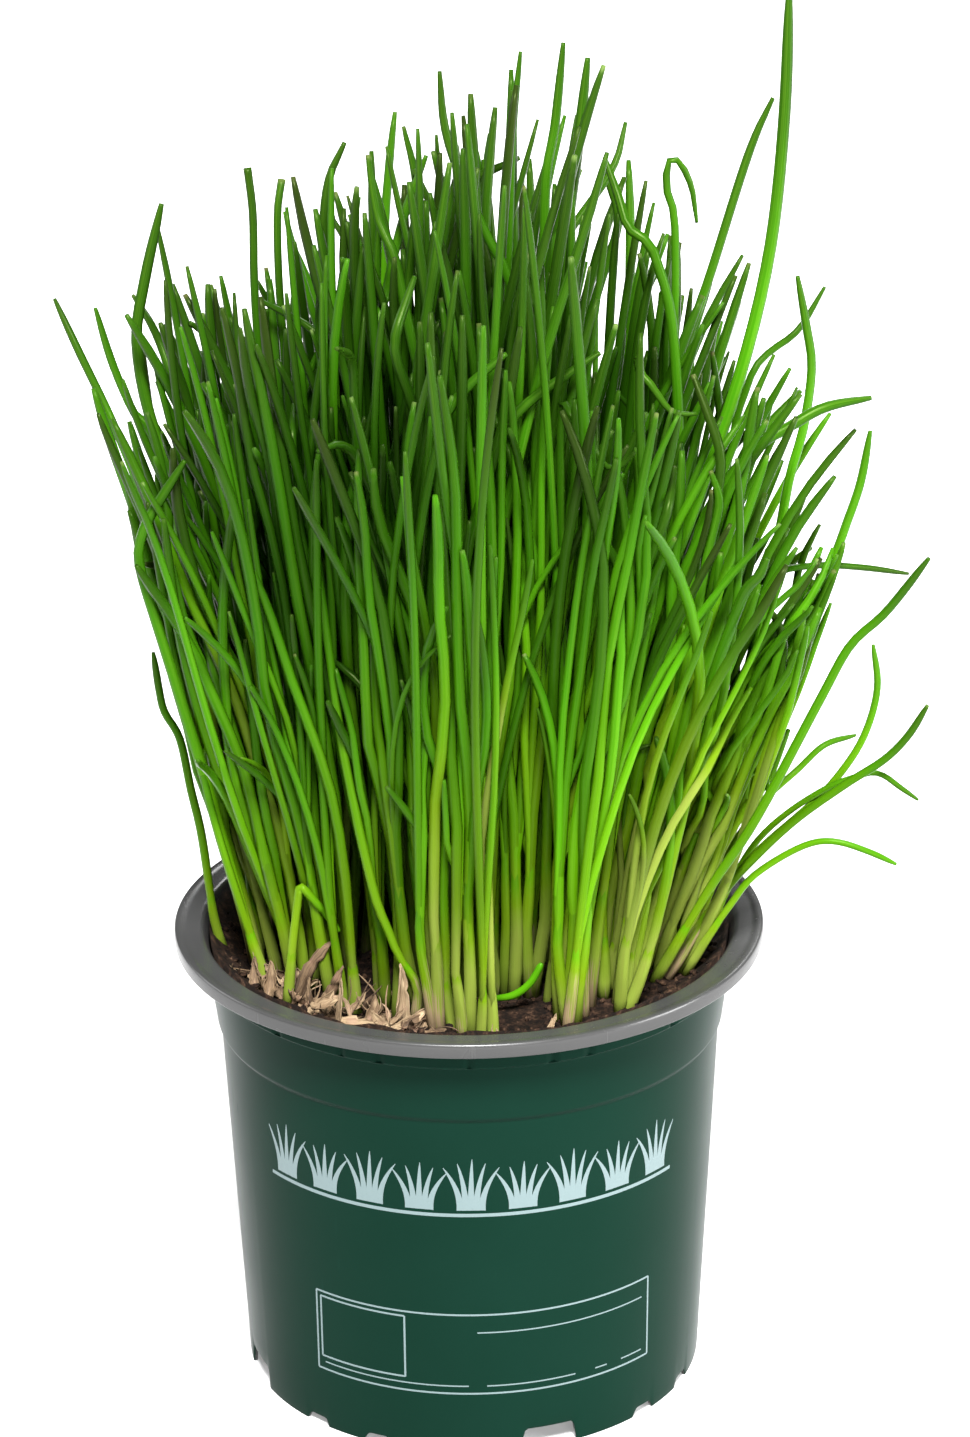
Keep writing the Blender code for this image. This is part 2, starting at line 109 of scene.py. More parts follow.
# The leaves that give the plant its outline: each one's radius and its points, in mm.
GUIDES = [
    (1.95, [(29, -30, 100), (29, -28, 138), (36, -25, 177), (50, -18, 213), (58, -12, 235),
            (64, -6, 259), (67, 0, 285), (68, 4, 312)]),
    (1.5, [(36, 4, 100), (40, 6, 160), (42, 6, 196), (45, 8, 225), (53, 12, 250),
           (61, 18, 274), (66, 20, 285)]),
    (1.9, [(15, 8, 100), (20, 12, 200), (21, 15, 243), (25, 18, 277), (27, 20, 294)]),
    (1.6, [(12, 18, 100), (17, 19, 220), (18, 22, 265), (20, 25, 277), (22, 25, 296)]),
    (1.3, [(8, 28, 100), (10, 28, 230), (11, 28, 272), (13, 30, 293)]),
    (1.5, [(14, 0, 100), (16, 1, 200), (11, 2, 247), (6, 4, 259), (1, 6, 270), (-3, 8, 282),
           (-4, 10, 294)]),
    (1.4, [(-8, 28, 100), (-8, 28, 220), (-9, 28, 261), (-12, 30, 277)]),
    (1.5, [(-18, 2, 100), (-18, 0, 230), (-16, 5, 246), (-12, 8, 263), (-7, 10, 276)]),
    (1.6, [(-3, -20, 100), (-5, -18, 190), (-7, -16, 224), (-11, -12, 245), (-14, -8, 260),
           (-17, -4, 266), (-19, 0, 279)]),
    (1.6, [(-26, 0, 100), (-28, 2, 225), (-29, 5, 246), (-28, 8, 269), (-24, 10, 279)]),
    (1.8, [(-46, -8, 100), (-55, -8, 191), (-65, -6, 222), (-68, -4, 240), (-66, -2, 253),
           (-62, 0, 269)]),
    (1.4, [(-48, 4, 100), (-58, 1, 169), (-67, 6, 197), (-75, 16, 215), (-83, 28, 228),
           (-88.5, 35, 238)]),
    (1.4, [(-45, 12, 100), (-64, 12, 204), (-71, 15, 219), (-75, 15, 230), (-78, 15, 242)]),
    (1.6, [(44, -12, 100), (45, -10, 225), (40, -10, 260), (35, -8, 264), (33, -4, 270),
           (30, 0, 278)]),
    (1.3, [(42, 6, 100), (45, 5, 248), (43, 6, 269), (44, 5, 277), (48, 6, 271),
           (49.5, 6, 262)]),
    (1.4, [(10, -4, 100), (19, 0, 249), (22, 5, 259), (32, 15, 271), (35, 20, 280)]),
    (1.5, [(46, -8, 100), (64, -6, 182), (69, -3, 208), (72, 0, 218), (74, 5, 230),
           (73, 8, 238), (71, 10, 249)]),
    (1.2, [(44, 8, 100), (56, 13, 200), (61, 15, 223), (65, 18, 229), (72, 22, 233),
           (78, 25, 242)]),
    (1.75, [(36, -26, 100), (46, -26, 185), (50, -25, 207), (60, -22, 221), (67, -20, 225),
            (75, -18, 229), (85, -15, 230)]),
    (1.5, [(46, 6, 100), (66, 10, 150), (79, 12, 182), (83, 15, 192), (86, 18, 200),
           (88, 20, 211)]),
    (1.4, [(40, -22.5, 100), (52, -26, 124), (61, -30, 141), (74, -34, 170), (80, -36, 183),
           (87, -38, 191), (95, -44, 205)]),
    (1.1, [(43, -3, 100), (53, -4, 150), (60, -4, 180), (66, -4, 187), (75, 0, 187.5),
           (86, 5, 185), (96, 9, 182)]),
    (1.2, [(46.5, -13, 100), (55, -13, 116), (62, -14, 126), (71, -14, 135), (79, -13, 143),
           (85, -12, 152), (88, -11, 163), (87, -10, 173)]),
    (1.3, [(43, -20.5, 100), (51, -19, 113), (60, -18, 125), (70, -17, 135), (81, -18, 144),
           (89, -19, 150), (94, -20, 156), (98, -20, 163)]),
    (0.95, [(50, -8, 100), (62, -11, 127), (76, -14, 140.5), (85, -15, 145), (89, -15, 145),
           (93, -15, 142), (97, -15, 139)]),
    (1.05, [(47, -19, 100), (52, -20, 110), (59, -20, 121), (65, -19, 126), (73, -20, 131),
           (79, -21, 132), (86, -22, 130), (92, -22, 127)]),
    (1.05, [(47, -5, 100), (53, -6, 114), (59, -6, 127), (65, -4, 135), (72, 0, 140),
           (78, 2, 145), (85, 5, 146)]),
    (1.35, [(-11.9, -42.1, 100), (-10.6, -43, 108), (-12.2, -43.2, 112.5), (-14.6, -43, 116),
            (-17, -43, 123), (-20, -43, 133), (-26, -43, 170), (-30, -42, 205)]),
    (1.3, [(-39, -33, 100), (-37.8, -33, 112), (-36.3, -33, 124), (-35.4, -33, 128.5),
           (-34, -33, 127), (-31, -33, 122.5), (-27.6, -33, 117.5)]),
    (1.2, [(22, -30, 100), (20, -34, 225), (22, -38, 234), (25, -40, 232), (28, -41, 225.5),
           (31.5, -41, 223.8), (35, -41, 227.5)]),
    (1.2, [(37, -22, 100), (36, -26, 232), (36.5, -28, 239.5), (38.5, -30, 238.5),
           (42.7, -31, 232.7), (48, -31, 232.2)]),
    (1.3, [(-54, -4, 100), (-56, -4, 108), (-58, -5, 128), (-60, -5, 139), (-62, -5, 151),
           (-65, -5, 157), (-66, -5, 162), (-67, -5, 171)]),
]

# The leaves at the top left whose ends were cut off flat.
CUT_GUIDES = [
    (1.2, [(-38, 12, 100), (-43, 14, 220), (-44, 15, 246), (-44, 18, 261), (-45, 20, 271)]),
    (1.15, [(-34, 16, 100), (-38, 19, 220), (-39, 20, 244), (-39, 22, 260), (-38, 25, 267)]),
]


# Settings that a user would change.

class PotSettings(bpy.types.PropertyGroup):
    outside: FloatVectorProperty(
        name="Outside", description="Colour of the printed outside of the pot",
        default=(0.0019, 0.0142, 0.0086), size=3, min=0, max=1, subtype="COLOR")
    plastic: FloatVectorProperty(
        name="Plastic", description="Colour of the bare plastic of the rim and the inside",
        default=(0.029, 0.029, 0.029), size=3, min=0, max=1, subtype="COLOR")
    print_colour: FloatVectorProperty(
        name="Print", description="Colour of the pale print on the outside",
        default=(0.108, 0.15, 0.153), size=3, min=0, max=1, subtype="COLOR")
    wall: FloatProperty(
        name="Wall", description="Thickness of the pot's wall",
        default=0.9 * MM, min=0.3 * MM, max=2 * MM, precision=5, unit="LENGTH")


class PlantSettings(bpy.types.PropertyGroup):
    seed: IntProperty(
        name="Seed", description="Number that every random choice starts from",
        default=7, min=0)
    leaves_per_shoot: IntProperty(
        name="Leaves", description="Most leaves that one shoot has", default=4, min=2, max=5)
    leaf_radius: FloatProperty(
        name="Leaf radius", description="Radius of a full-grown leaf at its widest",
        default=1.16 * MM, min=0.5 * MM, max=3 * MM, precision=5, unit="LENGTH")
    lean: FloatProperty(
        name="Lean", description="How far the tips stand out, against the roots",
        default=1.58, min=1, max=2)
    rounds: IntProperty(
        name="Rounds", description="Times that leaves which cut into each other are moved apart",
        default=24, min=0, max=100)
    shreds: IntProperty(
        name="Shreds", description="Number of small dry shreds around each heap of husks",
        default=20, min=0)


class SoilSettings(bpy.types.PropertyGroup):
    crumbs: IntProperty(
        name="Crumbs", description="Number of loose crumbs on the soil", default=900, min=0)
    roughness: FloatProperty(
        name="Lumps", description="Height of the soil's lumps",
        default=1.9 * MM, min=0, max=4 * MM, precision=5, unit="LENGTH")


class StageSettings(bpy.types.PropertyGroup):
    lens: FloatProperty(
        name="Lens", description="Focal length of the camera in mm", default=116.6, min=20,
        unit="CAMERA")
    sky: FloatProperty(
        name="Sky", description="Strength of the even light from all around",
        default=0.05, min=0)


# Shader maths and finishes.

class Shade:
    """A socket of a finish. Arithmetic on it adds the nodes that work it out."""

    def __init__(self, finish, socket):
        self.finish = finish
        self.socket = socket

    def math(self, operation, *values):
        return self.finish.node("ShaderNodeMath", {"operation": operation},
                                dict(enumerate(values)))

    def __add__(self, other):
        return self.math("ADD", self, other)

    def __sub__(self, other):
        return self.math("SUBTRACT", self, other)

    def __rsub__(self, other):
        return self.math("SUBTRACT", other, self)

    def __mul__(self, other):
        return self.math("MULTIPLY", self, other)

    __radd__ = __add__
    __rmul__ = __mul__

    def step(self, low, high):
        """0 below low and 1 above high, with a soft rise between them."""
        return self.finish.node(
            "ShaderNodeMapRange", {"interpolation_type": "SMOOTHSTEP"},
            {"Value": self, "From Min": low, "From Max": high})


class Finish:
    """A material made from nodes around one Principled shader."""

    def __init__(self, name, specular):
        self.material = bpy.data.materials.new(name)
        self.material.use_nodes = True
        self.tree = self.material.node_tree
        self.shader = self.tree.nodes["Principled BSDF"]
        self.shader.inputs["Specular IOR Level"].default_value = specular

    def node(self, kind, settings=None, inputs=None, output=0):
        """A new node's output, after its settings and the values or links of its inputs."""
        node = self.tree.nodes.new(kind)
        for name, value in (settings or {}).items():
            if name == "stops":
                set_stops(node.color_ramp, value)
            else:
                setattr(node, name, value)
        for name, value in (inputs or {}).items():
            if isinstance(value, Shade):
                self.tree.links.new(value.socket, node.inputs[name])
            else:
                node.inputs[name].default_value = value
        return Shade(self, node.outputs[output])

    def scaled(self, vector, scale):
        return self.node("ShaderNodeVectorMath", {"operation": "MULTIPLY"},
                         {0: vector, 1: scale})

    def place(self, scale=(1, 1, 1)):
        """The point on the object, stretched by scale."""
        return self.scaled(self.node("ShaderNodeTexCoord", output="Object"), scale)

    def attribute(self, name):
        return self.node("ShaderNodeAttribute", {"attribute_name": name}, output="Fac")

    def noise(self, vector, scale, detail=3.0):
        return self.node("ShaderNodeTexNoise", None,
                         {"Vector": vector, "Scale": scale, "Detail": detail}, "Fac")

    def fibres(self, uv_map, around, along, detail):
        """Lines that run along a leaf or a husk, from noise that is stretched on its map."""
        place = self.node("ShaderNodeUVMap", {"uv_map": uv_map})
        return self.noise(self.scaled(place, (around, along, 1)), 1.0, detail)

    def ramp(self, value, stops):
        return self.node("ShaderNodeValToRGB", {"stops": stops}, {"Fac": value}, "Color")

    def mix(self, factor, first, second):
        return self.node("ShaderNodeMix", {"data_type": "RGBA"},
                         {0: factor, 6: solid(first), 7: solid(second)}, 2)

    def bump(self, height, strength, distance):
        return self.node("ShaderNodeBump", None,
                         {"Height": height, "Strength": strength, "Distance": distance},
                         "Normal")

    def set(self, **inputs):
        """Links or sets the shader's inputs, whose names have _ for a space here."""
        for key, value in inputs.items():
            socket = self.shader.inputs[key.replace("_", " ").title()]
            if isinstance(value, Shade):
                self.tree.links.new(value.socket, socket)
            else:
                socket.default_value = value


def solid(colour):
    """A colour with its alpha, or the link that it already is."""
    return colour if isinstance(colour, Shade) else (*colour, 1)


def set_stops(ramp, stops):
    while len(ramp.elements) < len(stops):
        ramp.elements.new(1)
    for element, (position, colour) in zip(ramp.elements, stops):
        element.position = position
        element.color = solid(colour)


# The greens of a fresh leaf, from its foot to its full height.
LEAF_STOPS = [
    (0.0, (0.13, 0.165, 0.024)),
    (0.06, (0.090, 0.158, 0.003)),
    (0.16, (0.060, 0.168, 0.0010)),
    (0.34, (0.040, 0.160, 0.0012)),
    (0.60, (0.027, 0.130, 0.0012)),
    (1.0, (0.0115, 0.052, 0.0010)),
]
LEAF_RAMP_HEIGHT = 190 * MM
LINE_GREEN = (0.20, 0.38, 0.03)
# DEEP_GREEN and DUSKY_GREEN: the darker greens of the duller leaves, which at the far left of the
# plant are painted shade.
DEEP_GREEN = (0.003, 0.018, 0.0002)
DUSKY_GREEN = (0.0105, 0.020, 0.0025)
# The deep green towards which the painted shade darkens leaves inside the plant.
PAINTED_SHADE_GREEN = (0.002, 0.012, 0.0002)


def leaf_green(finish, rise, patch, lines):
    """The green of a fresh leaf: lighter where it is pale, darker towards its tip, and darker with
    its tint, which holds painted shade for the leaves in the middle of the plant.
    """
    level = (rise + finish.attribute("tint") * 0.34 * rise.step(0.0, 0.45)
             + finish.attribute("place").step(0.6, 1.0) * 0.16
             - finish.attribute("pale") * 0.13 * (1 - rise.step(0.1, 0.6))
             + (patch - 0.5) * 0.16)
    return finish.mix((lines - 0.42) * 0.4, finish.ramp(level, LEAF_STOPS), LINE_GREEN)


def dulled_and_shaded(finish, green, rise):
    """The green again: deeper on the duller leaves and dusky on the dullest, and dusky at the
    tips. At the far left of the plant this darkening is partly painted shade.
    """
    dull = finish.attribute("dull")
    deep = dull * (0.6 - rise.step(0.6, 1.0) * 0.3) * rise.step(0.0, 0.2)
    tip = finish.attribute("place").step(0.72, 1.0) * rise.step(0.1, 0.22)
    dusk = dull.step(0.8, 0.95) * 0.4 * rise.step(0.25, 0.55) + tip * (dull * 0.35 + 0.3)
    return finish.mix(dusk, finish.mix(deep, green, DEEP_GREEN), DUSKY_GREEN)


def leaf_finish():
    """Leaves and the sheaths at their feet: pale at the soil, then lime, and deep green at the
    tip, with fine lines along them, dry tips and some dry brown skin at the soil. Deep inside the
    plant and at its far left they carry painted shade."""
    finish = Finish("chive_leaf", specular=0.07)
    height = finish.node("ShaderNodeSeparateXYZ", None, {0: finish.place()}, "Z")
    rise = (height - SOIL_TOP) * (1 / LEAF_RAMP_HEIGHT)
    patch = finish.noise(finish.place((1, 1, 0.3)), 90)
    lines = finish.fibres("Leaf", 26, 2.5, 2.0)
    fresh = dulled_and_shaded(finish, leaf_green(finish, rise, patch, lines), rise)
    dry_end = finish.attribute("place").step(0.991, 1.0) * finish.attribute("dry")
    straw = finish.mix(patch.step(0.4, 0.6), (0.055, 0.055, 0.018), (0.08, 0.125, 0.03))
    cover = (finish.attribute("brown") + (lines - 0.5) * 1.4 - rise * 7).step(0.55, 0.8)
    brown = finish.mix(lines, (0.10, 0.06, 0.035), (0.28, 0.21, 0.12))
    skin = finish.mix(cover, finish.mix(dry_end, fresh, straw), brown)
    # Painted shade: the inner attribute darkens leaves deep inside the plant towards a deep green.
    finish.set(base_color=finish.mix(finish.attribute("inner") * 0.82, skin, PAINTED_SHADE_GREEN),
               roughness=0.18 + patch * 0.2 + cover * 0.4,
               normal=finish.bump(lines, 0.25, 0.25 * MM),
               specular_tint=(0.8, 1, 0.4, 1))
    return finish.material


def husk_finish():
    """Dry papery sheaths: straw and brown, with fibres along them."""
    finish = Finish("dry_husk", specular=0.3)
    fibres = finish.fibres("Husk", 34, 2.0, 4.0)
    patch = finish.noise(finish.place(), 260)
    tint = finish.attribute("tint")
    colour = finish.ramp(fibres * 1.5 + patch * 0.5 + tint * 0.28 - 0.58, [
        (0.0, (0.018, 0.010, 0.006)),
        (0.3, (0.055, 0.032, 0.017)),
        (0.6, (0.135, 0.086, 0.045)),
        (1.0, (0.31, 0.235, 0.14)),
    ])
    rosy = finish.mix(patch.step(0.52, 0.7) * 0.4, colour, (0.17, 0.09, 0.065))
    finish.set(base_color=rosy, roughness=0.6 + fibres * 0.3,
               normal=finish.bump(fibres, 0.5, 0.25 * MM))
    return finish.material


def soil_finish():
    """Moist potting soil: dark and crumbly, with lighter fibres in it."""
    finish = Finish("potting_soil", specular=0.12)
    lumps = finish.noise(finish.place(), 420, 6.0)
    grains = finish.noise(finish.place(), 1700, 4.0)
    tint = finish.attribute("tint")
    colour = finish.ramp(lumps * 0.55 + grains * 0.45 + tint * 0.22, [
        (0.34, (0.0012, 0.0006, 0.0003)),
        (0.47, (0.005, 0.0024, 0.0012)),
        (0.58, (0.018, 0.009, 0.005)),
        (0.72, (0.085, 0.048, 0.028)),
    ])
    finish.set(base_color=colour, roughness=0.8 + grains * 0.2,
               normal=finish.bump(lumps * 0.6 + grains * 0.4, 0.9, 0.8 * MM))
    return finish.material


def pot_finish(name, colour, lighter, roughness, specular):
    """Moulded plastic with a faint grain, a few scuffs and slightly uneven gloss."""
    finish = Finish(name, specular)
    cloud = finish.noise(finish.place(), 38, 4.0)
    grain = finish.noise(finish.place(), 2600, 2.0)
    scratch = finish.noise(finish.place((1, 1, 0.06)), 900, 3.0)
    scuffs = scratch.step(0.66, 0.74) * cloud.step(0.5, 0.66)
    shade = finish.mix((cloud - 0.3) * 0.4, colour, lighter)
    finish.set(base_color=finish.mix(scuffs * 0.35, shade, lighter),
               roughness=roughness - 0.06 + cloud * 0.12 + scuffs * 0.1,
               normal=finish.bump(grain + cloud * 2.0, 0.12, 0.12 * MM))
    return finish.material


def print_finish(colour):
    """The pale print: a thin even ink that lets a little of the pot through."""
    finish = Finish("pale_print", specular=0.35)
    speck = finish.noise(finish.place(), 1500, 3.0)
    faded = finish.mix(speck.step(0.60, 0.75) * 0.25, colour,
                       tuple(0.7 * part for part in colour))
    finish.set(base_color=faded, roughness=0.44 + speck * 0.14)
    return finish.material


def floor_finish():
    """A matt pale floor with a slight glow, a little darker around the pot so that it
    throws less light up."""
    finish = Finish("pale_floor", specular=0.1)
    away = finish.node("ShaderNodeVectorMath", {"operation": "LENGTH"},
                       {0: finish.place()}, "Value")
    cloud = finish.noise(finish.place(), 3.0, 2.0) * 0.03
    finish.set(base_color=finish.mix(away.step(0.2, 0.9) - cloud, (0.52, 0.52, 0.52),
                                     (0.8, 0.8, 0.8)),
               roughness=0.9, emission_color=(1, 1, 1, 1), emission_strength=0.3)
    return finish.material


# Meshes.

def to_mesh(name, bm):
    """A new mesh of what the bmesh holds. The bmesh is freed."""
    mesh = bpy.data.meshes.new(name)
    bm.to_mesh(mesh)
    bm.free()
    return mesh


def add_object(name, data):
    """A new object of the scene, at the origin."""
    thing = bpy.data.objects.new(name, data)
    bpy.context.scene.collection.objects.link(thing)
    return thing


def add_piece(name, mesh, finishes, smooth=True):
    """A finished piece, which rides on the plant's body."""
    if smooth:
        mesh.shade_smooth()
    for finish in finishes:
        mesh.materials.append(finish)
    piece = add_object(name, mesh)
    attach(piece, "root")
    return piece


def of_kind(items, kind):
    return [item for item in items if isinstance(item, kind)]


def spun(profile, steps, closed):
    """A surface turned about Z from a profile of (radius, height) points in mm."""
    bm = bmesh.new()
    verts = [bm.verts.new((radius * MM, 0, height * MM)) for radius, height in profile]
    ends = verts[1:] + verts[:1] if closed else verts[1:]
    edges = [bm.edges.new(pair) for pair in zip(verts, ends)]
    bmesh.ops.spin(bm, geom=verts + edges, axis=(0, 0, 1), cent=(0, 0, 0), dvec=(0, 0, 0),
                   angle=FULL_TURN, steps=steps, use_merge=True)
    bmesh.ops.remove_doubles(bm, verts=bm.verts, dist=0.001 * MM)
    bmesh.ops.recalc_face_normals(bm, faces=bm.faces)
    return bm


def round_corners(corners):
    """The outline through (radius, height, rounding) corners, in mm, with arcs at them."""
    steps = 4
    outline = []
    count = len(corners)
    for index, (x, y, rounding) in enumerate(corners):
        here = Vector((x, y))
        if not rounding:
            outline.append(here)
            continue
        before = Vector(corners[index - 1][:2]) - here
        after = Vector(corners[(index + 1) % count][:2]) - here
        start = here + before.normalized() * min(rounding, before.length * 0.45)
        end = here + after.normalized() * min(rounding, after.length * 0.45)
        for step in range(steps + 1):
            share = step / steps
            outline.append(start.lerp(here, share).lerp(here.lerp(end, share), share))
    return [tuple(point) for point in outline]


def front_angle(point):
    """The angle of a place around the pot, from the front towards +X, in degrees."""
    return math.degrees(math.atan2(point.x, -point.y))


def angle_between(first, second):
    return abs((first - second + 180) % 360 - 180)


# The pot.

def wall_profile(wall):
    """The closed section of the pot's wall, from its foot up outside, over the rim and
    down inside."""
    band = COLLAR_RADIUS + 0.7
    lip = RIM_HEIGHT - 3.3
    shoulder_top = SHOULDER_HEIGHT + 0.4
    return round_corners([
        (BASE_RADIUS, 0, 0.35),
        *((BASE_RADIUS + out, height, 0) for out, height in FOOT_FLARE),
        (WALL_TOP_RADIUS, SHOULDER_HEIGHT - 0.6, 0.3),
        (SHOULDER_RADIUS, shoulder_top, 0.5),
        (COLLAR_RADIUS, BAND_FOOT, 0.25),
        (band, BAND_FOOT + 0.5, 0.25),
        (band, BAND_TOP, 1.0),
        (RIM_RADIUS - wall - 0.1, RIM_HEIGHT - 1.5, 0.6),
        (RIM_RADIUS - wall, lip, 0.2),
        (RIM_RADIUS - 0.1, lip, 0.35),
        (RIM_RADIUS, RIM_HEIGHT, 1.1),
        (RIM_RADIUS - 1.5, RIM_HEIGHT - 0.04, 0.5),
        (RIM_RADIUS - 2.4, RIM_HEIGHT - 0.3, 0.6),
        (band - wall + 1.2, RIM_HEIGHT - 0.45, 1.0),
        (band - wall, RIM_HEIGHT - 3, 0.8),
        (COLLAR_RADIUS - wall, BAND_FOOT, 0.8),
        (SHOULDER_RADIUS - wall, shoulder_top, 0.6),
        (SHOULDER_RADIUS - 0.7 - wall, SHOULDER_HEIGHT - 0.8, 0.6),
        *((BASE_RADIUS + out - wall, height, 0) for out, height in reversed(FOOT_FLARE)),
        (BASE_RADIUS - wall, 0, 0.3),
    ])


def gap_height(angle):
    """How far the foot's lower edge is raised at this angle, in mm, with round corners."""
    rounding = 1.6
    raised = 0.0
    for gaps in (WIDE_GAPS, SMALL_GAPS):
        for middle in gaps["angles"]:
            inside = gaps["half"] - angle_between(angle, middle)
            if inside > 0:
                rise = min(1.0, inside / rounding)
                raised = max(raised, gaps["height"] * math.sqrt(1 - (1 - rise) ** 2))
    return raised


def shape_foot(bm):
    """Raises the foot's edge at its gaps, and eases the wall above them."""
    reach = 9.0
    for vert in bm.verts:
        height = vert.co.z / MM
        if height < reach:
            vert.co.z += gap_height(front_angle(vert.co)) * (1 - height / reach) * MM


def cut_ribs(bm):
    """Short upright grooves that part the band under the rim, at uneven distances."""
    half_width, depth = 0.6, 0.55 * MM
    inner, outer = (COLLAR_RADIUS + 0.5) * MM, (RIM_RADIUS - 3) * MM
    middles = [step * 15 + 4 * math.sin(step * 2.4) for step in range(24)]
    for vert in bm.verts:
        reach = vert.co.xy.length
        on_band = inner < reach < outer and BAND_FOOT < vert.co.z / MM < RIM_HEIGHT - 3.4
        angle = front_angle(vert.co)
        if on_band and min(angle_between(angle, middle) for middle in middles) < half_width:
            vert.co.xy *= 1 - depth / reach


def make_wall(settings):
    """The pot without its floor: printed plastic outside, bare plastic on the rest."""
    bm = spun(wall_profile(settings.wall / MM), POT_COLUMNS, closed=True)
    for face in bm.faces:
        middle = face.calc_center_median()
        outside = face.normal.xy.dot(middle.xy) > 0 and middle.xy.length / MM < RIM_RADIUS - 3
        face.material_index = 0 if outside and middle.z / MM < BAND_TOP else 1
    shape_foot(bm)
    cut_ribs(bm)
    return bm


def add_floor_disc(bm, wall):
    """The pot's floor, a flat disc with a ring of drain holes."""
    holes, hole_radius, ring_radius = 8, 4 * MM, 36 * MM
    disc = bmesh.new()
    bmesh.ops.create_circle(disc, segments=120, radius=(BASE_RADIUS - 0.4) * MM)
    for hole in range(holes):
        angle = FULL_TURN * (hole + 0.5) / holes
        place = Matrix.Translation((ring_radius * math.sin(angle),
                                    -ring_radius * math.cos(angle), 0))
        bmesh.ops.create_circle(disc, segments=24, radius=hole_radius, matrix=place)
    bmesh.ops.triangle_fill(disc, use_beauty=True, edges=disc.edges)
    bmesh.ops.solidify(disc, geom=disc.faces, thickness=wall)
    bmesh.ops.recalc_face_normals(disc, faces=disc.faces)
    bmesh.ops.translate(disc, vec=(0, 0, (FLOOR_HEIGHT + 1) * MM), verts=disc.verts)
    for face in disc.faces:
        face.material_index = 1
    mesh = to_mesh("pot_floor", disc)
    bm.from_mesh(mesh)
    bpy.data.meshes.remove(mesh)


# Print on the pot.

def wrap_on_wall(bm):
    """Bends flat print, drawn with X around the wall and Y up in mm, onto the pot."""
    for vert in bm.verts:
        around, height, proud = vert.co
        share = height / SHOULDER_HEIGHT
        radius = BASE_RADIUS + (WALL_TOP_RADIUS - BASE_RADIUS) * share
        angle = around / radius
        reach = radius + proud
        vert.co = Vector((reach * math.sin(angle), -reach * math.cos(angle), height)) * MM


def add_stroke(bm, points, widths):
    """A flat strip along the points, in mm, with a width at each of them."""
    left, right = [], []
    for index, point in enumerate(points):
        along = points[min(index + 1, len(points) - 1)] - points[max(index - 1, 0)]
        across = Vector((-along.y, along.x)).normalized() * widths[index] / 2
        left.append(bm.verts.new((*(point + across), 0)))
        right.append(bm.verts.new((*(point - across), 0)))
    for low in range(len(points) - 1):
        bm.faces.new((right[low], right[low + 1], left[low + 1], left[low]))


def add_blade(bm, foot, lean, height):
    """One tapered leaf stroke that bends over by lean."""
    steps = 8
    points, widths = [], []
    for step in range(steps + 1):
        share = step / steps
        points.append(Vector((foot.x + lean * share ** 2, foot.y + height * share)))
        widths.append(1.5 * (1 - share) ** 0.7 + 0.12)
    add_stroke(bm, points, widths)


def finish_print(bm):
    """Gives flat print the thickness of its ink and lays it on the pot."""
    ink = 0.07
    bmesh.ops.recalc_face_normals(bm, faces=bm.faces)
    made = bmesh.ops.extrude_face_region(bm, geom=bm.faces[:])["geom"]
    bmesh.ops.translate(bm, vec=(0, 0, ink), verts=of_kind(made, bmesh.types.BMVert))
    bmesh.ops.recalc_face_normals(bm, faces=bm.faces)
    wrap_on_wall(bm)
    return bm


def leaf_print():
    """A row of small grass tufts on a ground line, around the front of the pot."""
    tufts, spacing, base = 9, 11.2, 61.5
    bm = bmesh.new()
    for tuft in range(tufts):
        middle = (tuft - (tufts - 1) / 2) * spacing
        for blade, lean in enumerate((-3.6, -1.7, 0.3, 2.0, 3.8), -2):
            foot = Vector((middle + blade * 1.15, base))
            add_blade(bm, foot, lean, 12.6 - 1.1 * abs(blade) - (tuft % 2) * 1.2)
    ground = [Vector((x, base - 1.2)) for x in range(-50, 51, 2)]
    add_stroke(bm, ground, [0.8] * len(ground))
    return finish_print(bm)


def add_ruled_line(bm, start, end, width):
    """A straight line, in short pieces that follow the wall once they are bent onto it."""
    start, end = Vector(start), Vector(end)
    pieces = max(1, int((end - start).length / 2))
    points = [start.lerp(end, step / pieces) for step in range(pieces + 1)]
    add_stroke(bm, points, [width] * len(points))


def add_ruled_box(bm, low, high, width):
    corners = [low, (high[0], low[1]), high, (low[0], high[1])]
    for start, end in zip(corners, corners[1:] + corners[:1]):
        add_ruled_line(bm, start, end, width)


def label_frame():
    """An empty ruled box low on the front of the pot. In it are a smaller box at the left,
    a blank line at the top right and a row of dashes along its foot."""
    left, right, low, high = -37, 43, 15.3, 35.3
    border, rule = 0.42, 0.3
    bm = bmesh.new()
    add_ruled_box(bm, (left, low), (right, high), border)
    add_ruled_box(bm, (left + 1.2, low + 3.4), (left + 22, high - 1.2), border)
    add_ruled_line(bm, (left + 38, high - 4.5), (right - 2, high - 4.5), rule)
    for start, end in ((2, 36), (40, 60), (65, 68), (72, 78)):
        add_ruled_line(bm, (left + start, low + 1.9), (left + end, low + 1.9), rule)
    return finish_print(bm)


# The soil.

# The soil's lumps of three sizes: their share of the height, their noise's scale and the
# slice of the noise that they are read from.
SOIL_LUMPS = ((0.55, 90, 3.1), (0.33, 260, 7.7), (0.22, 800, 1.3))


def soil_bank(point):
    """How far the soil rises towards the wall of the pot."""
    start, width, height = 49.5, 7.5, 5.1 * MM
    return height * max(0, (point.xy.length / MM - start) / width) ** 1.6


def soil_rise(point, roughness):
    """How far the lumpy surface lies above or below its middle level."""
    lumps = sum(share * noise.noise(Vector((point.x * scale, point.y * scale, level)))
                for share, scale, level in SOIL_LUMPS)
    return lumps * roughness + soil_bank(point)


def random_axis(rng):
    return Vector([rng.gauss(0, 1) for _ in range(3)]).normalized()


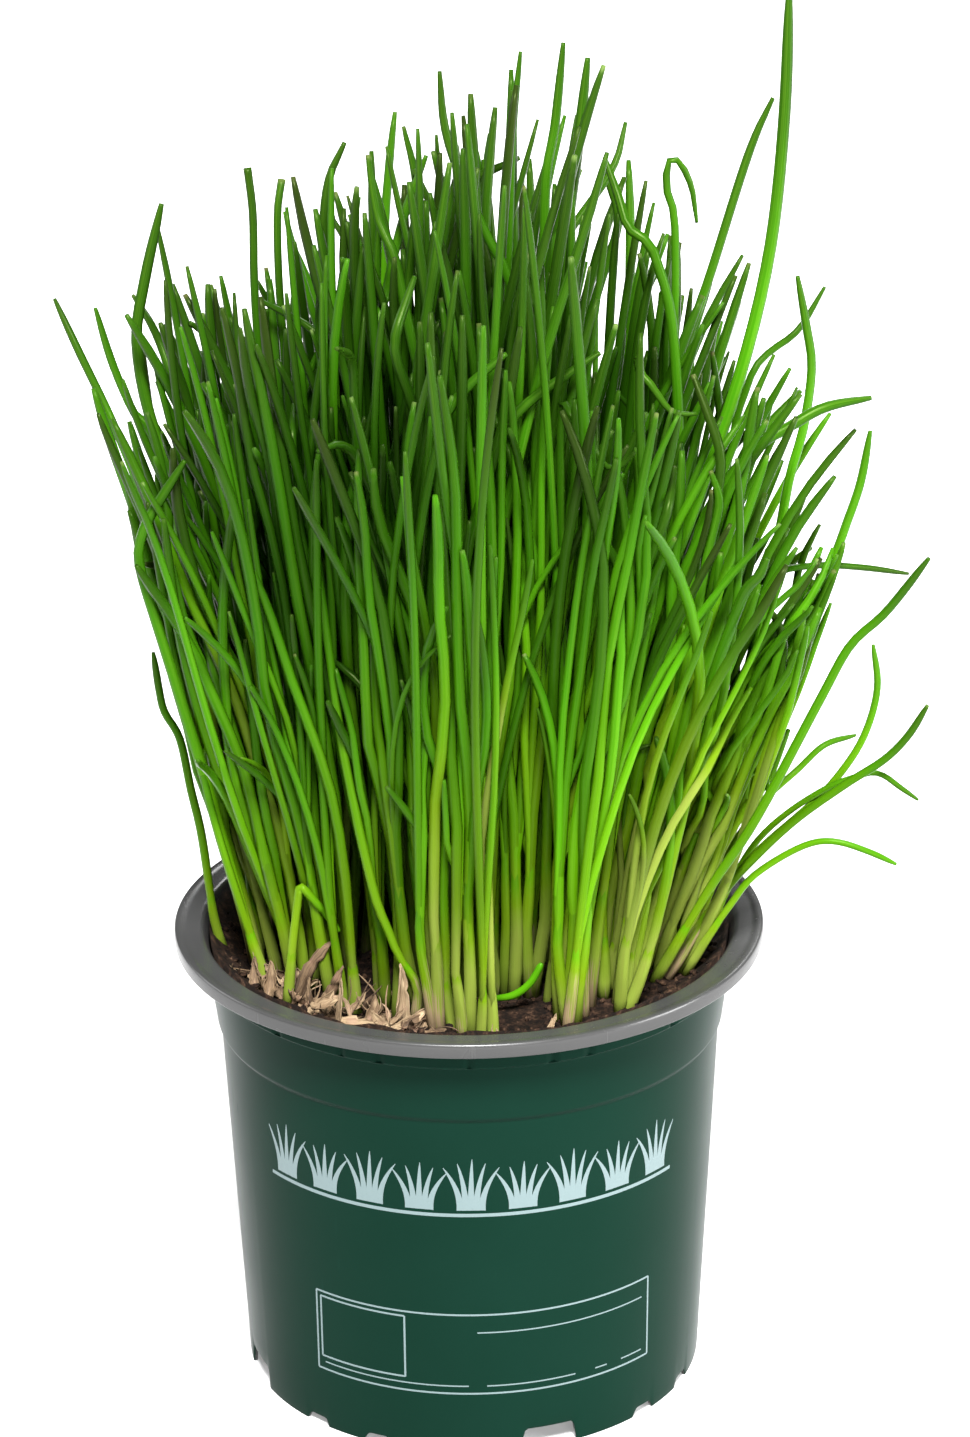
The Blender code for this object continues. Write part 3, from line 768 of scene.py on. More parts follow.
def add_crumb(bm, spot, size, rng):
    """An uneven crumb of soil, with its own shade."""
    turn = Matrix.Rotation(rng.uniform(0, FULL_TURN), 4, random_axis(rng))
    stretch = Matrix.Diagonal((rng.uniform(0.7, 1.6), rng.uniform(0.7, 1.2), 0.8, 1))
    crumb = bmesh.ops.create_icosphere(
        bm, subdivisions=1, radius=size,
        matrix=Matrix.Translation(spot) @ turn @ stretch)["verts"]
    tints = bm.verts.layers.float["tint"]
    shade = rng.uniform(-0.5, 0.9) ** 3
    for vert in crumb:
        vert.co += random_axis(rng) * 0.18 * size
        vert[tints] = shade


def make_soil(settings, wall, rng):
    """The soil in the pot, lumpy on top, with loose crumbs lying on it."""
    radius = COLLAR_RADIUS - wall + 0.45
    top = SOIL_TOP / MM - 0.2
    bottom = FLOOR_HEIGHT + 1.2
    rings = 48
    surface = [(radius * ring / rings, top) for ring in range(rings)]
    side = [(radius, top - 0.1), (radius - 0.7, BAND_FOOT),
            (SHOULDER_RADIUS - wall - 0.2, SHOULDER_HEIGHT),
            (SHOULDER_RADIUS - wall - 1.0, SHOULDER_HEIGHT - 1.6),
            (BASE_RADIUS - wall + 0.3, bottom), (0, bottom)]
    bm = spun(surface + side, 200, closed=False)
    bm.verts.layers.float.new("tint")
    for vert in bm.verts:
        if vert.co.z > (top - 1.8) * MM:
            vert.co.z += soil_rise(vert.co, settings.roughness)
    for _ in range(settings.crumbs):
        spot = Vector((math.sqrt(rng.random()) * (radius - 1.5) * MM, 0, 0))
        spot.rotate(Matrix.Rotation(rng.uniform(0, FULL_TURN), 3, "Z"))
        size = rng.uniform(0.35, 1.1) * MM
        spot.z = top * MM + soil_rise(spot, settings.roughness) + 0.35 * size
        add_crumb(bm, spot, size, rng)
    return bm


# The forms that leaves are bent from.

def next_ring(bm, edges):
    """Extrudes the ring of edges, and gives the new ring's edges and vertices."""
    made = bmesh.ops.extrude_edge_only(bm, edges=edges)["geom"]
    return of_kind(made, bmesh.types.BMEdge), of_kind(made, bmesh.types.BMVert)


def map_around(bm):
    """Two maps around and along the tube: one for its lines, and one for baking."""
    layers = [bm.loops.layers.uv.new(name) for name in ("Leaf", "OFBake")]
    for face in bm.faces:
        turns = [math.atan2(loop.vert.co.y, loop.vert.co.x) / FULL_TURN % 1
                 for loop in face.loops]
        crosses = max(turns) - min(turns) > 0.5 and len(turns) == 4
        for loop, turn in zip(face.loops, turns):
            turn += 1 if crosses and turn < 0.5 else 0
            for layer in layers:
                loop[layer].uv = (turn, loop.vert.co.z)


def leaf_form(name, sides, rings, cut=False):
    """A straight tube of unit radius from z = 0 to z = 1. Its rings get closer towards the tip. A
    cut one ends in a narrower ring around an end face sunk a little below it, like a hollow."""
    bm = bmesh.new()
    bmesh.ops.create_circle(bm, segments=sides, radius=1)
    edges = bm.edges[:]
    for ring in range(1, rings):
        edges, verts = next_ring(bm, edges)
        for vert in verts:
            vert.co.z = 1 - (1 - ring / (rings - 1)) ** 1.5
    if cut:
        for radius, height in ((0.72, 1.0), (0.66, 0.97)):
            edges, verts = next_ring(bm, edges)
            for vert in verts:
                vert.co.xy = vert.co.xy.normalized() * radius
                vert.co.z = height
    bmesh.ops.holes_fill(bm, edges=[edge for edge in bm.edges if edge.is_boundary], sides=0)
    bmesh.ops.recalc_face_normals(bm, faces=bm.faces)
    map_around(bm)
    return to_mesh(name, bm)


@dataclass
class Stalk:
    """One leaf or sheath. Its looks are its tint from light to dark, which on the leaves in the
    middle of the plant is partly painted shade, how dry its tip is, how pale its lower part is and
    how much brown skin it has. Above the height split it leaves its shoot, and a fixed one is
    moved less than the others when leaves overlap."""

    tuft: str
    shoot: int
    path: np.ndarray
    radius: float
    form: str = "leaf"
    tint: float = 0.0
    dry: float = 0.0
    pale: float = 0.0
    brown: float = 0.0
    split: float = 14 * MM
    fixed: bool = False


def evenly(line, count):
    """The line again, with evenly spaced points."""
    run = np.concatenate([[0], np.cumsum(np.linalg.norm(np.diff(line, axis=0), axis=1))])
    places = np.linspace(0, run[-1], count)
    return np.stack([np.interp(places, run, line[:, axis]) for axis in range(3)], 1)


def smooth_line(points, count):
    """Evenly spaced points on the smooth curve through the given ones."""
    knots = np.array(points, float)
    knots = np.vstack([2 * knots[0] - knots[1], knots, 2 * knots[-1] - knots[-2]])
    share = np.linspace(0, 1, 12, endpoint=False)[:, None]
    runs = [0.5 * (2 * b + (c - a) * share + (2 * a - 5 * b + 4 * c - d) * share ** 2
                   + (3 * b - a - 3 * c + d) * share ** 3)
            for a, b, c, d in zip(knots, knots[1:], knots[2:], knots[3:])]
    return evenly(np.vstack([*runs, knots[-2:-1]]), count)


def leaf_widths(place):
    """A leaf's width along it: narrow in its sheath, full above, then a short blunt point."""
    grown = 0.72 + 0.28 * np.clip(place / 0.3, 0, 1)
    late = np.clip((place - 0.4) / 0.6, 0, 1)
    point = np.clip((place - 0.89) / 0.11, 0, 1)
    return grown * (1 - 0.14 * late - 0.45 * point ** 3)


def cut_widths(place):
    """A cut leaf stays wide up to its end."""
    return 0.7 + 0.3 * np.clip(place / 0.3, 0, 1)


def sheath_widths(place):
    """A sheath swells a little at the soil and closes on the leaves at its top."""
    return 1.08 - 0.1 * place - 0.5 * place ** 4


WIDTHS = {"leaf": leaf_widths, "long_leaf": leaf_widths, "cut_leaf": cut_widths,
          "sheath": sheath_widths}


def line_frames(path):
    """Two directions across the line at each of its points, without any twist."""
    along = np.gradient(path, axis=0)
    along /= np.linalg.norm(along, axis=1, keepdims=True)
    side = np.cross(along[0], (0.3, 1, 0.1))
    sides = []
    for direction in along:
        side = side - direction * side.dot(direction)
        side /= np.linalg.norm(side)
        sides.append(side)
    sides = np.array(sides)
    return sides, np.cross(along, sides)


def bent_form(coords, stalk):
    """The form's points, moved onto the stalk's centre line."""
    sides, ups = line_frames(stalk.path)
    step = coords[:, 2] * (len(stalk.path) - 1)
    low = np.clip(step.astype(int), 0, len(stalk.path) - 2)
    share = (step - low)[:, None]

    def between(values):
        return values[low] * (1 - share) + values[low + 1] * share

    flatness = 0.88
    width = (WIDTHS[stalk.form](coords[:, 2]) * stalk.radius)[:, None]
    return (between(stalk.path) + between(sides) * coords[:, :1] * width
            + between(ups) * coords[:, 1:2] * width * flatness)


# Where leaves grow.

# The height at which a shoot has leant out by its full amount.
STEM_REACH = 185 * MM

# How far the plant reaches to the front and to the back.
DEEPEST = 76 * MM

# How much of the canopy's height each leaf of a shoot reaches, from its first leaf on.
LEAF_HEIGHTS = ((0.82, 1.07), (0.66, 1.0), (0.48, 0.9), (0.38, 0.72), (0.3, 0.6))

# Where nothing grows: the middles and half widths of ellipses, in mm. Soil shows in the
# first two, and husks lie in the third.
SOIL_PATCHES = (((13, -42), (5.5, 9)), ((44.5, -34), (11, 11)))
HUSK_PATCH = ((-17, -49.5), (8.5, 4.5))

# How many points the centre line of a leaf has, and that of a longer form.
LEAF_POINTS = 28
LONG_POINTS = 60

# How high a leaf has to rise for its end to fold over, and the share of those that do.
FOLD_HEIGHT = 110 * MM
FOLD_SHARE = 0.05

# How far the feet of shoots are below the soil's surface, how far they stand from the
# middle of their clump at most, and how far they are apart at least.
ROOT_DEPTH = 2.5 * MM
CLUMP_REACH = 6.9 * MM
SHOOT_GAP = 2.8 * MM


def tuft_foot(name):
    """The middle of the lowest face of a clump's node."""
    corners = np.array([vert.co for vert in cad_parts[name].data.vertices])
    low = corners[corners[:, 2] < corners[:, 2].min() + 0.2 * MM]
    return low.mean(axis=0)


def canopy(x, y):
    """How high the leaves reach at these places: less at the front and at the back."""
    across = np.array(CANOPY, float) * MM
    height = np.interp(x, across[:, 0], across[:, 1])
    return height - np.where(y > 0, 0.22 * y, 0.35 * np.maximum(0, -y - 0.02))


def cone_radius(height):
    """The radius, at a height, of the cone that the whole plant fills."""
    return 54 * MM + 0.26 * (height - SOIL_TOP)


def ellipse_distance(points, ellipse):
    """How far points are from an ellipse's middle: 1 on the ellipse itself."""
    middle, reach = ellipse
    return np.linalg.norm((points[..., :2] / MM - middle) / reach, axis=-1)


def painted_shade_depth(points):
    """How much painted shade each point gets, from how deep it is inside the plant: 0 near its
    outside and top and by the bare patches of soil, up to 1.
    """
    share = np.linalg.norm(points[:, :2], axis=1) / cone_radius(points[:, 2])
    deep = np.clip((0.89 - share) / 0.3, 0, 1)
    below = canopy(points[:, 0], points[:, 1]) - points[:, 2]
    deep *= np.clip((below - 8 * MM) / (45 * MM), 0, 1)
    for patch in SOIL_PATCHES:
        deep *= 1 - np.exp(-(ellipse_distance(points, patch) / 2) ** 2)
    return deep


def held_in(line):
    """The line, pulled back where it leaves the cone that the whole plant fills, which is
    narrower at the left, and flatter at the front and the back."""
    reach = np.linalg.norm(line[:, :2], axis=1)
    limit = cone_radius(line[:, 2])
    kept = np.where(reach > limit, limit + 0.25 * (reach - limit), reach)
    line[:, :2] *= (kept / np.maximum(reach, 1 * MM))[:, None]
    line[:, 0] -= 0.7 * np.minimum(0, line[:, 0] + 0.83 * limit)
    deep = np.abs(line[:, 1])
    kept = np.where(deep > DEEPEST, DEEPEST + 0.2 * (deep - DEEPEST), deep)
    line[:, 1] *= kept / np.maximum(deep, 0.001 * MM)
    return line


def scatter(rng, *spreads):
    """A random offset, with a spread in each direction."""
    return np.array([rng.gauss(0, spread) for spread in spreads])


def grown_line(root, lean, kink, split, drift, height, rng):
    """One leaf. It follows its shoot's leaning stem up to where it splits off, and then
    drifts away from it, with a sway on the way and an arc towards its tip."""
    rise = np.linspace(0, height, LEAF_POINTS)[:, None]
    own = np.clip((rise - split) / (height - split), 0, 1)
    stem = lean * (rise / STEM_REACH) ** 1.28 + kink * rise * np.exp(-rise / (60 * MM))
    sway = scatter(rng, 3, 3) * MM
    arc = scatter(rng, 5.5, 5.5) * MM
    across = (stem + drift * own ** rng.uniform(1.2, 1.7)
              + sway * np.sin(math.pi * own * rng.uniform(0.8, 1.6)) * own ** 0.5
              + arc * own ** rng.uniform(2.6, 4.5))
    dip = 0.4 * np.linalg.norm(arc) * own ** 4
    line = np.hstack([root[:2] + across, root[2] + rise - dip])
    return evenly(held_in(line), LEAF_POINTS)


def fold_line(line, at, angle, axis, softness):
    """Bends the part of the line past a place over, about an axis through that place."""
    first = int(at * (len(line) - 1))
    bent = line.copy()
    for step in range(softness):
        pivot = Vector(bent[first + step])
        turn = Matrix.Rotation(angle / softness, 3, axis)
        for index in range(first + step + 1, len(bent)):
            bent[index] = pivot + turn @ (Vector(bent[index]) - pivot)
    return bent


def folded(line, rng):
    """The line with its end folded over, sharply near its tip or softly further down."""
    angle, softness, low = rng.choice(((1.2, 3, 0.86), (1.1, 9, 0.76)))
    at = low + rng.uniform(0, 0.09)
    angle *= rng.uniform(0.35, 1)
    heading = rng.uniform(0, FULL_TURN)
    axis = Vector((math.cos(heading), math.sin(heading), 0.2))
    return held_in(fold_line(evenly(line, LONG_POINTS), at, angle, axis, softness))


def grow_roots(guides, rng):
    """The places of the shoots: five or six in each clump, and more at the right, clear of each
    other and of the listed leaves."""
    roots = []
    feet = [guide.path[guide.path[:, 2] < SOIL_TOP + 16 * MM][:, :2] for guide in guides]
    taken = np.vstack([*feet, np.array(FALLEN)[:, :2] * MM])

    def is_free(spot):
        edge = (54 if spot[0] < 0 else 50.8) * MM
        return (np.linalg.norm(spot[:2]) < edge
                and all(np.linalg.norm(spot - other) > SHOOT_GAP for _, other in roots)
                and np.linalg.norm(taken - spot[:2], axis=1).min() > SHOOT_GAP
                and all(ellipse_distance(spot, patch) > 1
                        for patch in (*SOIL_PATCHES, HUSK_PATCH)))

    for name in TUFTS:
        foot = tuft_foot(name)
        wanted = rng.choice((5, 5, 6)) + 2 * (foot[0] > 28 * MM)
        for _ in range(200):
            angle = rng.uniform(0, FULL_TURN)
            reach = CLUMP_REACH * math.sqrt(rng.random())
            spot = foot + reach * np.array([math.cos(angle), math.sin(angle), 0])
            if wanted and is_free(spot):
                spot[2] = SOIL_TOP - ROOT_DEPTH
                roots.append((name, spot))
                wanted -= 1
    return roots


def guide_stalks(rng):
    """The listed leaves, each in the clump that it grows nearest to."""
    feet = {name: tuft_foot(name) for name in TUFTS}
    stalks = []
    for form, guides in (("long_leaf", GUIDES), ("cut_leaf", CUT_GUIDES)):
        for radius, points in guides:
            path = smooth_line(np.array(points) * MM, LONG_POINTS)
            path[:, 2] = np.maximum(path[:, 2], SOIL_TOP - ROOT_DEPTH)
            tuft = min(feet, key=lambda name: np.linalg.norm(feet[name][:2] - path[0][:2]))
            stalks.append(Stalk(tuft, len(stalks), path, 0.78 * radius * MM, form,
                                rng.uniform(-0.6, 0.6), rng.random() ** 6, fixed=True))
    return stalks


def shoot_lean(root, settings, rng):
    """How far a shoot leans out: away from the middle, and still more at both sides."""
    lean = root[:2] * (settings.lean - 1 + rng.gauss(0, 0.08))
    lean[0] += (1.3 * max(0, root[0] - 14 * MM) + 0.5 * max(0, root[0] - 33 * MM)
                - 0.9 * max(0, -root[0] - 28 * MM))
    return lean + scatter(rng, 5.5, 5.5) * MM


def random_stalks(settings, guides, rng):
    """The leaves of all the other shoots. Those in the middle of the plant are darker, with
    painted shade in their tint, and those at its right are paler at their feet."""
    stalks = []
    for shoot, (tuft, root) in enumerate(grow_roots(guides, rng), len(guides)):
        lean = shoot_lean(root, settings, rng)
        kink = scatter(rng, 0.12, 0.08)
        split = rng.uniform(10, 40) * MM
        # Painted shade: the nearer a shoot stands to the middle, the darker its tint.
        hue_and_painted_shade = rng.uniform(-1, 1) + 0.75 - np.linalg.norm(root[:2]) / (36 * MM)
        right = np.clip((root[0] / MM - 22) / 18, 0, 1)
        pale = max(right * rng.uniform(0.5, 1), rng.random() ** 3)
        for leaf in range(rng.randint(2, settings.leaves_per_shoot)):
            drift = scatter(rng, 12, 11) * MM
            tip = root[:2] + lean + drift
            height = (canopy(*tip) - SOIL_TOP) * rng.uniform(*LEAF_HEIGHTS[leaf])
            drift *= height / STEM_REACH
            line = grown_line(root, lean, kink, split, drift, height, rng)
            form = "leaf"
            if height > FOLD_HEIGHT and rng.random() < FOLD_SHARE:
                form = "long_leaf"
                line = folded(line, rng)
            radius = settings.leaf_radius * rng.uniform(0.72, 1.25) * (1 - 0.07 * leaf)
            tint = 0.6 * hue_and_painted_shade + rng.uniform(-0.4, 0.4)
            stalks.append(Stalk(tuft, shoot, line, radius, form, tint, rng.random() ** 6,
                                pale, split=split))
    return stalks


# Moving leaves apart.

def close_pairs(points, reach):
    """The pairs of points that are nearer to each other than reach, as two index arrays.
    Space is cut into cells as wide as reach. Each cell is compared with itself and with
    the half of its neighbours that comes after it, so that no pair is found twice."""
    cells = np.floor(points / reach).astype(np.int64)
    cells -= cells.min(axis=0) - 1
    rows, layers = cells.max(axis=0)[1:] + 2
    keys = (cells[:, 0] * rows + cells[:, 1]) * layers + cells[:, 2]
    order = np.argsort(keys, kind="stable")
    ranked = keys[order]
    offsets = [(x, y, z) for x in (0, 1) for y in (-1, 0, 1) for z in (-1, 0, 1)]
    firsts, seconds = [], []
    for x, y, z in offsets:
        if (x, y, z) < (0, 0, 0):
            continue
        wanted = ranked + (x * rows + y) * layers + z
        starts = np.searchsorted(ranked, wanted, "left")
        counts = np.searchsorted(ranked, wanted, "right") - starts
        left = np.repeat(np.arange(len(ranked)), counts)
        skipped = np.repeat(np.cumsum(counts) - counts - starts, counts)
        right = np.arange(counts.sum()) - skipped
        once = right > left if (x, y, z) == (0, 0, 0) else np.ones(len(left), bool)
        first, second = order[left[once]], order[right[once]]
        near = ((points[first] - points[second]) ** 2).sum(axis=1) < reach ** 2
        firsts.append(first[near])
        seconds.append(second[near])
    return np.concatenate(firsts), np.concatenate(seconds)


def sampling(points, samples):
    """The matrix that reads evenly spaced samples off a line of points."""
    step = np.linspace(0, points - 1, samples)
    low = np.clip(step.astype(int), 0, points - 2)
    matrix = np.zeros((samples, points))
    matrix[np.arange(samples), low] = 1 - (step - low)
    matrix[np.arange(samples), low + 1] = step - low
    return matrix


def spreading(read):
    """The matrix that turns what the samples were pushed into a smooth bend of the line."""
    softness = 0.085
    count = read.shape[1]
    steps = np.arange(count)
    blur = np.exp(-((steps[:, None] - steps) / (softness * count)) ** 2)
    blur /= blur.sum(axis=1, keepdims=True)
    return blur @ (read / read.sum(axis=0)).T


def overlaps(points, width, owner, shoot):
    """The pairs of points whose leaves cut into each other, and how each first point of a
    pair has to move to end that. Leaves of one shoot may touch where they are in it."""
    first, second = close_pairs(points, 2 * width.max())
    mates = (shoot[first] == shoot[second]) & (points[first, 2] < SOIL_TOP + 60 * MM)
    strangers = (owner[first] != owner[second]) & ~mates
    first, second = first[strangers], second[strangers]
    apart = points[first] - points[second]
    distance = np.linalg.norm(apart, axis=1)
    depth = np.maximum(0, width[first] + width[second] - distance)
    apart[:, 2] *= 0.3
    apart /= np.linalg.norm(apart, axis=1, keepdims=True) + 1e-9
    return first, second, apart * depth[:, None]


def move_apart(stalks, rounds):
    """Pushes leaves that cut into each other sideways, a little in each round. They give way more
    the higher they are, and the listed ones less than the others."""
    samples, eagerness = 84, 2.2
    foot_height, foot_width = SOIL_TOP + 22 * MM, 1.35 * MM
    reads = {count: sampling(count, samples) for count in (LEAF_POINTS, LONG_POINTS)}
    spreads = {count: spreading(read) for count, read in reads.items()}
    place = np.linspace(0, 1, samples)
    radii = np.array([WIDTHS[stalk.form](place) * stalk.radius for stalk in stalks]).ravel()
    owner = np.repeat(np.arange(len(stalks)), samples)
    shoot = np.repeat([stalk.shoot for stalk in stalks], samples)
    free = np.repeat([0.25 if stalk.fixed else 1.0 for stalk in stalks], samples)
    starts = [stalk.path for stalk in stalks]
    for _ in range(rounds):
        lines = np.array([reads[len(stalk.path)] @ stalk.path for stalk in stalks])
        points = lines.reshape(-1, 3)
        width = np.where(points[:, 2] < foot_height, foot_width, radii)
        first, second, push = overlaps(points, width, owner, shoot)
        share = (free[first] / (free[first] + free[second]))[:, None]
        moves = np.zeros_like(points)
        np.add.at(moves, first, push * share)
        np.add.at(moves, second, -push * (1 - share))
        for stalk, start, move in zip(stalks, starts, moves.reshape(lines.shape)):
            rise = np.clip((start[:, 2:] - SOIL_TOP - 5 * MM) / (75 * MM), 0, 1) ** 1.5
            shift = spreads[len(stalk.path)] @ move
            moved = stalk.path - start + eagerness * shift * rise
            far = np.linalg.norm(moved, axis=1, keepdims=True)
            most = (2.5 if stalk.fixed else 7) * MM * rise ** 0.8
            stalk.path = start + moved * np.minimum(1, most / np.maximum(far, 0.01 * MM))


# Meshes of the shoots.

def sheath_stalks(stalks, rng):
    """A pale sheath around the foot of every shoot, up to where its widest leaf splits off."""
    shoots = {}
    for stalk in stalks:
        shoots.setdefault(stalk.shoot, []).append(stalk)
    sheaths = []
    for shoot, leaves in shoots.items():
        leaf = max(leaves, key=lambda leaf: leaf.radius)
        line = evenly(leaf.path, 200)
        line = line[line[:, 2] < SOIL_TOP + leaf.split + 3 * MM]
        radius = 0.88 * leaf.radius + 0.26 * MM * rng.uniform(0.8, 1.3)
        sheaths.append(Stalk(leaf.tuft, shoot, evenly(line, 9), radius, "sheath",
                             leaf.tint, pale=leaf.pale, brown=rng.random()))
    return sheaths


def read_values(items, name, size):
    """A property of all the items, as an array with a row for each."""
    values = np.zeros(len(items) * size)
    items.foreach_get(name, values)
    return values.reshape(-1, size)


def dullness_and_painted_shade(number, stalk):
    """How much duller a leaf's green is, which differs from leaf to leaf at random, plus painted
    shade that makes the leaves at the far left duller still.
    """
    dull = number * GOLDEN % 1
    # Painted shade: leaves whose tips reach out far to the left are made duller.
    return 0.35 + 0.65 * dull if stalk.path[-1, 0] < -55 * MM else dull


def shoots_mesh(name, stalks, forms):
    """One mesh of all the stalks of a clump, each with its own strip of the baking map. Its
    attributes tell the leaves' finish where on a leaf a point is, how the leaf looks and how much
    painted shade lies on it."""
    bm = bmesh.new()
    for stalk in stalks:
        bm.from_mesh(forms[stalk.form])
    mesh = to_mesh(name, bm)
    margin = 0.06
    places, strips = [], []
    looks = ("tint", "dry", "pale", "brown")
    values = {key: [] for key in ("place", "inner", "dull", *looks)}
    for number, stalk in enumerate(stalks):
        form = forms[stalk.form]
        coords = read_values(form.vertices, "co", 3)
        places.append(bent_form(coords, stalk))
        values["place"].append(coords[:, 2])
        # The inner attribute holds painted shade for points deep inside the plant.
        values["inner"].append(painted_shade_depth(places[-1]))
        values["dull"].append(np.full(len(coords), dullness_and_painted_shade(number, stalk)))
        for key in looks:
            values[key].append(np.full(len(coords), getattr(stalk, key)))
        strip = read_values(form.uv_layers["OFBake"].data, "uv", 2)
        strip[:, 0] = (number + margin + (1 - 2 * margin) * strip[:, 0]) / len(stalks)
        strip[:, 1] = 0.01 + 0.98 * strip[:, 1]
        strips.append(strip)
    mesh.vertices.foreach_set("co", np.concatenate(places).ravel())
    mesh.uv_layers["OFBake"].data.foreach_set("uv", np.concatenate(strips).ravel())
    for key, arrays in values.items():
        layer = mesh.attributes.new(key, "FLOAT", "POINT")
        layer.data.foreach_set("value", np.concatenate(arrays))
    mesh.update()
    return mesh


# Dry husks.

# The husks that stand or lie among the front stems: where each one's foot is, its
# heading and rise in degrees, its length and width, how far it is rolled, bent and
# twisted in radians, and its shade from dark to light.
PLACED_HUSKS = [
    (-35, -31.7, -11, 84, 17, 8, 5.6, -0.6, 0.2, 0.0),
    (-30.2, -35.3, -40, 62, 13, 6, 4.2, 0.2, 0.3, -0.1),
    (-27.8, -45.5, 20, 76, 11, 2.8, 1.6, 0.3, 0.4, 1.0),
    (-14.6, -44, 90, 88, 16, 5, 3.2, 0.25, 1.3, 1.2),
    (-34, -45.5, 15, 12, 8, 4, 1.4, 0.3, 0.3, 0.7),
    (-28, -46.5, -12, 8, 11, 4.5, 2.4, -0.4, 0.8, 1.0),
    (-18.4, -48.3, 22, 10, 12, 3.4, 2.6, 0.5, 1.4, 1.2),
    (-20, -47, 12, 20, 9, 2.2, 3.0, 0.7, 1.0, 0.7),
    (-11.8, -49.8, -5, 8, 7.5, 3, 2.6, 0.4, 1.0, 0.1),
    (-37, -30, 100, 60, 8, 5, 2.8, 0.9, 1.0, 0.8),
    (-35.5, -36, 60, 35, 8, 4.5, 2.4, 1.1, -1.2, 0.4),
    (-33, -39, -30, 30, 8, 5, 3.0, -0.8, 1.2, 0.7),
    (-31, -41, 150, 25, 7, 4.5, 2.2, 1.0, 0.6, 0.3),
    (-36.5, -26, 200, 50, 7, 4, 3.0, 0.8, -0.9, 0.5),
    (-34, -42, 40, 15, 8, 4, 2.0, 0.6, 1.5, 0.9),
    (-43, -33, 80, 60, 8, 5, 3.6, 0.3, 0.5, 0.5),
    (-46, -27, 90, 50, 7, 4, 3.0, 0.4, -0.8, 0.2),
    (-22, -44.5, 60, 40, 8, 4, 3.0, 0.7, 1.0, 0.3),
    (-16.5, -46.5, 170, 25, 7, 3.6, 2.4, 0.9, -1.0, 0.9),
    (-11, -47, 60, 30, 8, 3.4, 2.6, 0.8, 1.3, 0.7),
    (-6, -48, 140, 20, 7, 3, 2.4, 0.6, 1.0, 0.2),
    (5.3, -49, 95, 60, 4.5, 2.6, 3.4, 0.4, 0.4, 1.0),
    (16.7, -48.5, 60, 35, 5, 1.8, 2.4, 0.3, 0.3, 1.0),
]


def heading_turn(heading, rise, tilt=0.0):
    """The rotation to a heading around Z and a rise above the level, after a tilt."""
    return (Matrix.Rotation(heading, 3, "Z") @ Matrix.Rotation(-rise, 3, "Y")
            @ Matrix.Rotation(tilt, 3, "X"))


def add_husk(bm, foot, turn, length, width, roll, bend, twist, shade):
    """A torn strip of papery sheath, made flat, then rolled, bent and twisted."""
    start = len(bm.verts)
    bmesh.ops.create_grid(bm, x_segments=6, y_segments=14, size=0.5, calc_uvs=True)
    bm.verts.ensure_lookup_table()
    tints = bm.verts.layers.float["tint"]
    for vert in bm.verts[start:]:
        across, along = vert.co.x, vert.co.y + 0.5
        side = 1 if across > 0 else -1
        ruffle = noise.noise(Vector((across * 3, along * 6, start * 0.37)))
        torn = 1 + 0.5 * noise.noise(Vector((side * 9, along * 8, start * 0.73)))
        taper = min(1.0, 0.6 + along * 2.5) * (1.03 - along ** 2.5) ** 0.7 * torn
        angle = across * roll
        reach = width * taper / roll
        wave = 0.10 * width * ruffle
        flat = Vector((0.06 * length * ruffle, math.sin(angle) * reach + wave,
                       (1 - math.cos(angle)) * reach + wave))
        lean = bend * along
        flat.rotate(Matrix.Rotation(twist * along, 3, "X"))
        flat.rotate(Matrix.Rotation(-lean, 3, "Y"))
        spine = Vector((math.sin(lean), 0, 1 - math.cos(lean))) * (length / bend)
        vert.co = foot + turn @ (spine + flat)
        vert[tints] = shade + 0.4 * ruffle


def husk_floor(point):
    """Just below the middle level of the soil under this point."""
    return SOIL_TOP - 0.3 * MM + soil_bank(point)


def box_middle(name):
    low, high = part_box(name)
    return (low + high).xy / 2


def add_placed_husks(bm, name):
    """The husks of the list that are nearest to one packed sheath."""
    middles = {other: box_middle(other) for other in HUSKS}
    for x, y, heading, rise, length, width, *shape in PLACED_HUSKS:
        foot = Vector((x, y, 0)) * MM
        foot.z = husk_floor(foot)
        if min(middles, key=lambda other: (middles[other] - foot.xy).length) == name:
            add_husk(bm, foot, heading_turn(math.radians(heading), math.radians(rise)),
                     length * MM, width * MM, *shape)


def add_shreds(bm, middle, count, rng):
    """Small shreds around a place, and every second one a narrow fibre."""
    for number in range(count):
        foot = Vector((rng.gauss(middle.x, 5.5 * MM), rng.gauss(middle.y, 3.5 * MM), 0))
        foot *= min(1, 50.5 * MM / foot.length)
        foot.z = SOIL_TOP + rng.uniform(0, 2) * MM
        turn = heading_turn(rng.uniform(0, FULL_TURN), rng.uniform(-0.1, 0.8),
                            rng.uniform(-1, 1))
        longer, thinner = (1.5, 0.18) if number % 2 else (1, 1)
        length = rng.uniform(4, 8) * MM * longer
        width = rng.uniform(1.5, 3.5) * MM * thinner
        add_husk(bm, foot, turn, length, width, roll=rng.uniform(1.4, 4),
                 bend=rng.choice((-1, 1)) * rng.uniform(0.3, 2), twist=rng.uniform(-2, 2),
                 shade=rng.uniform(-0.5, 1.3))


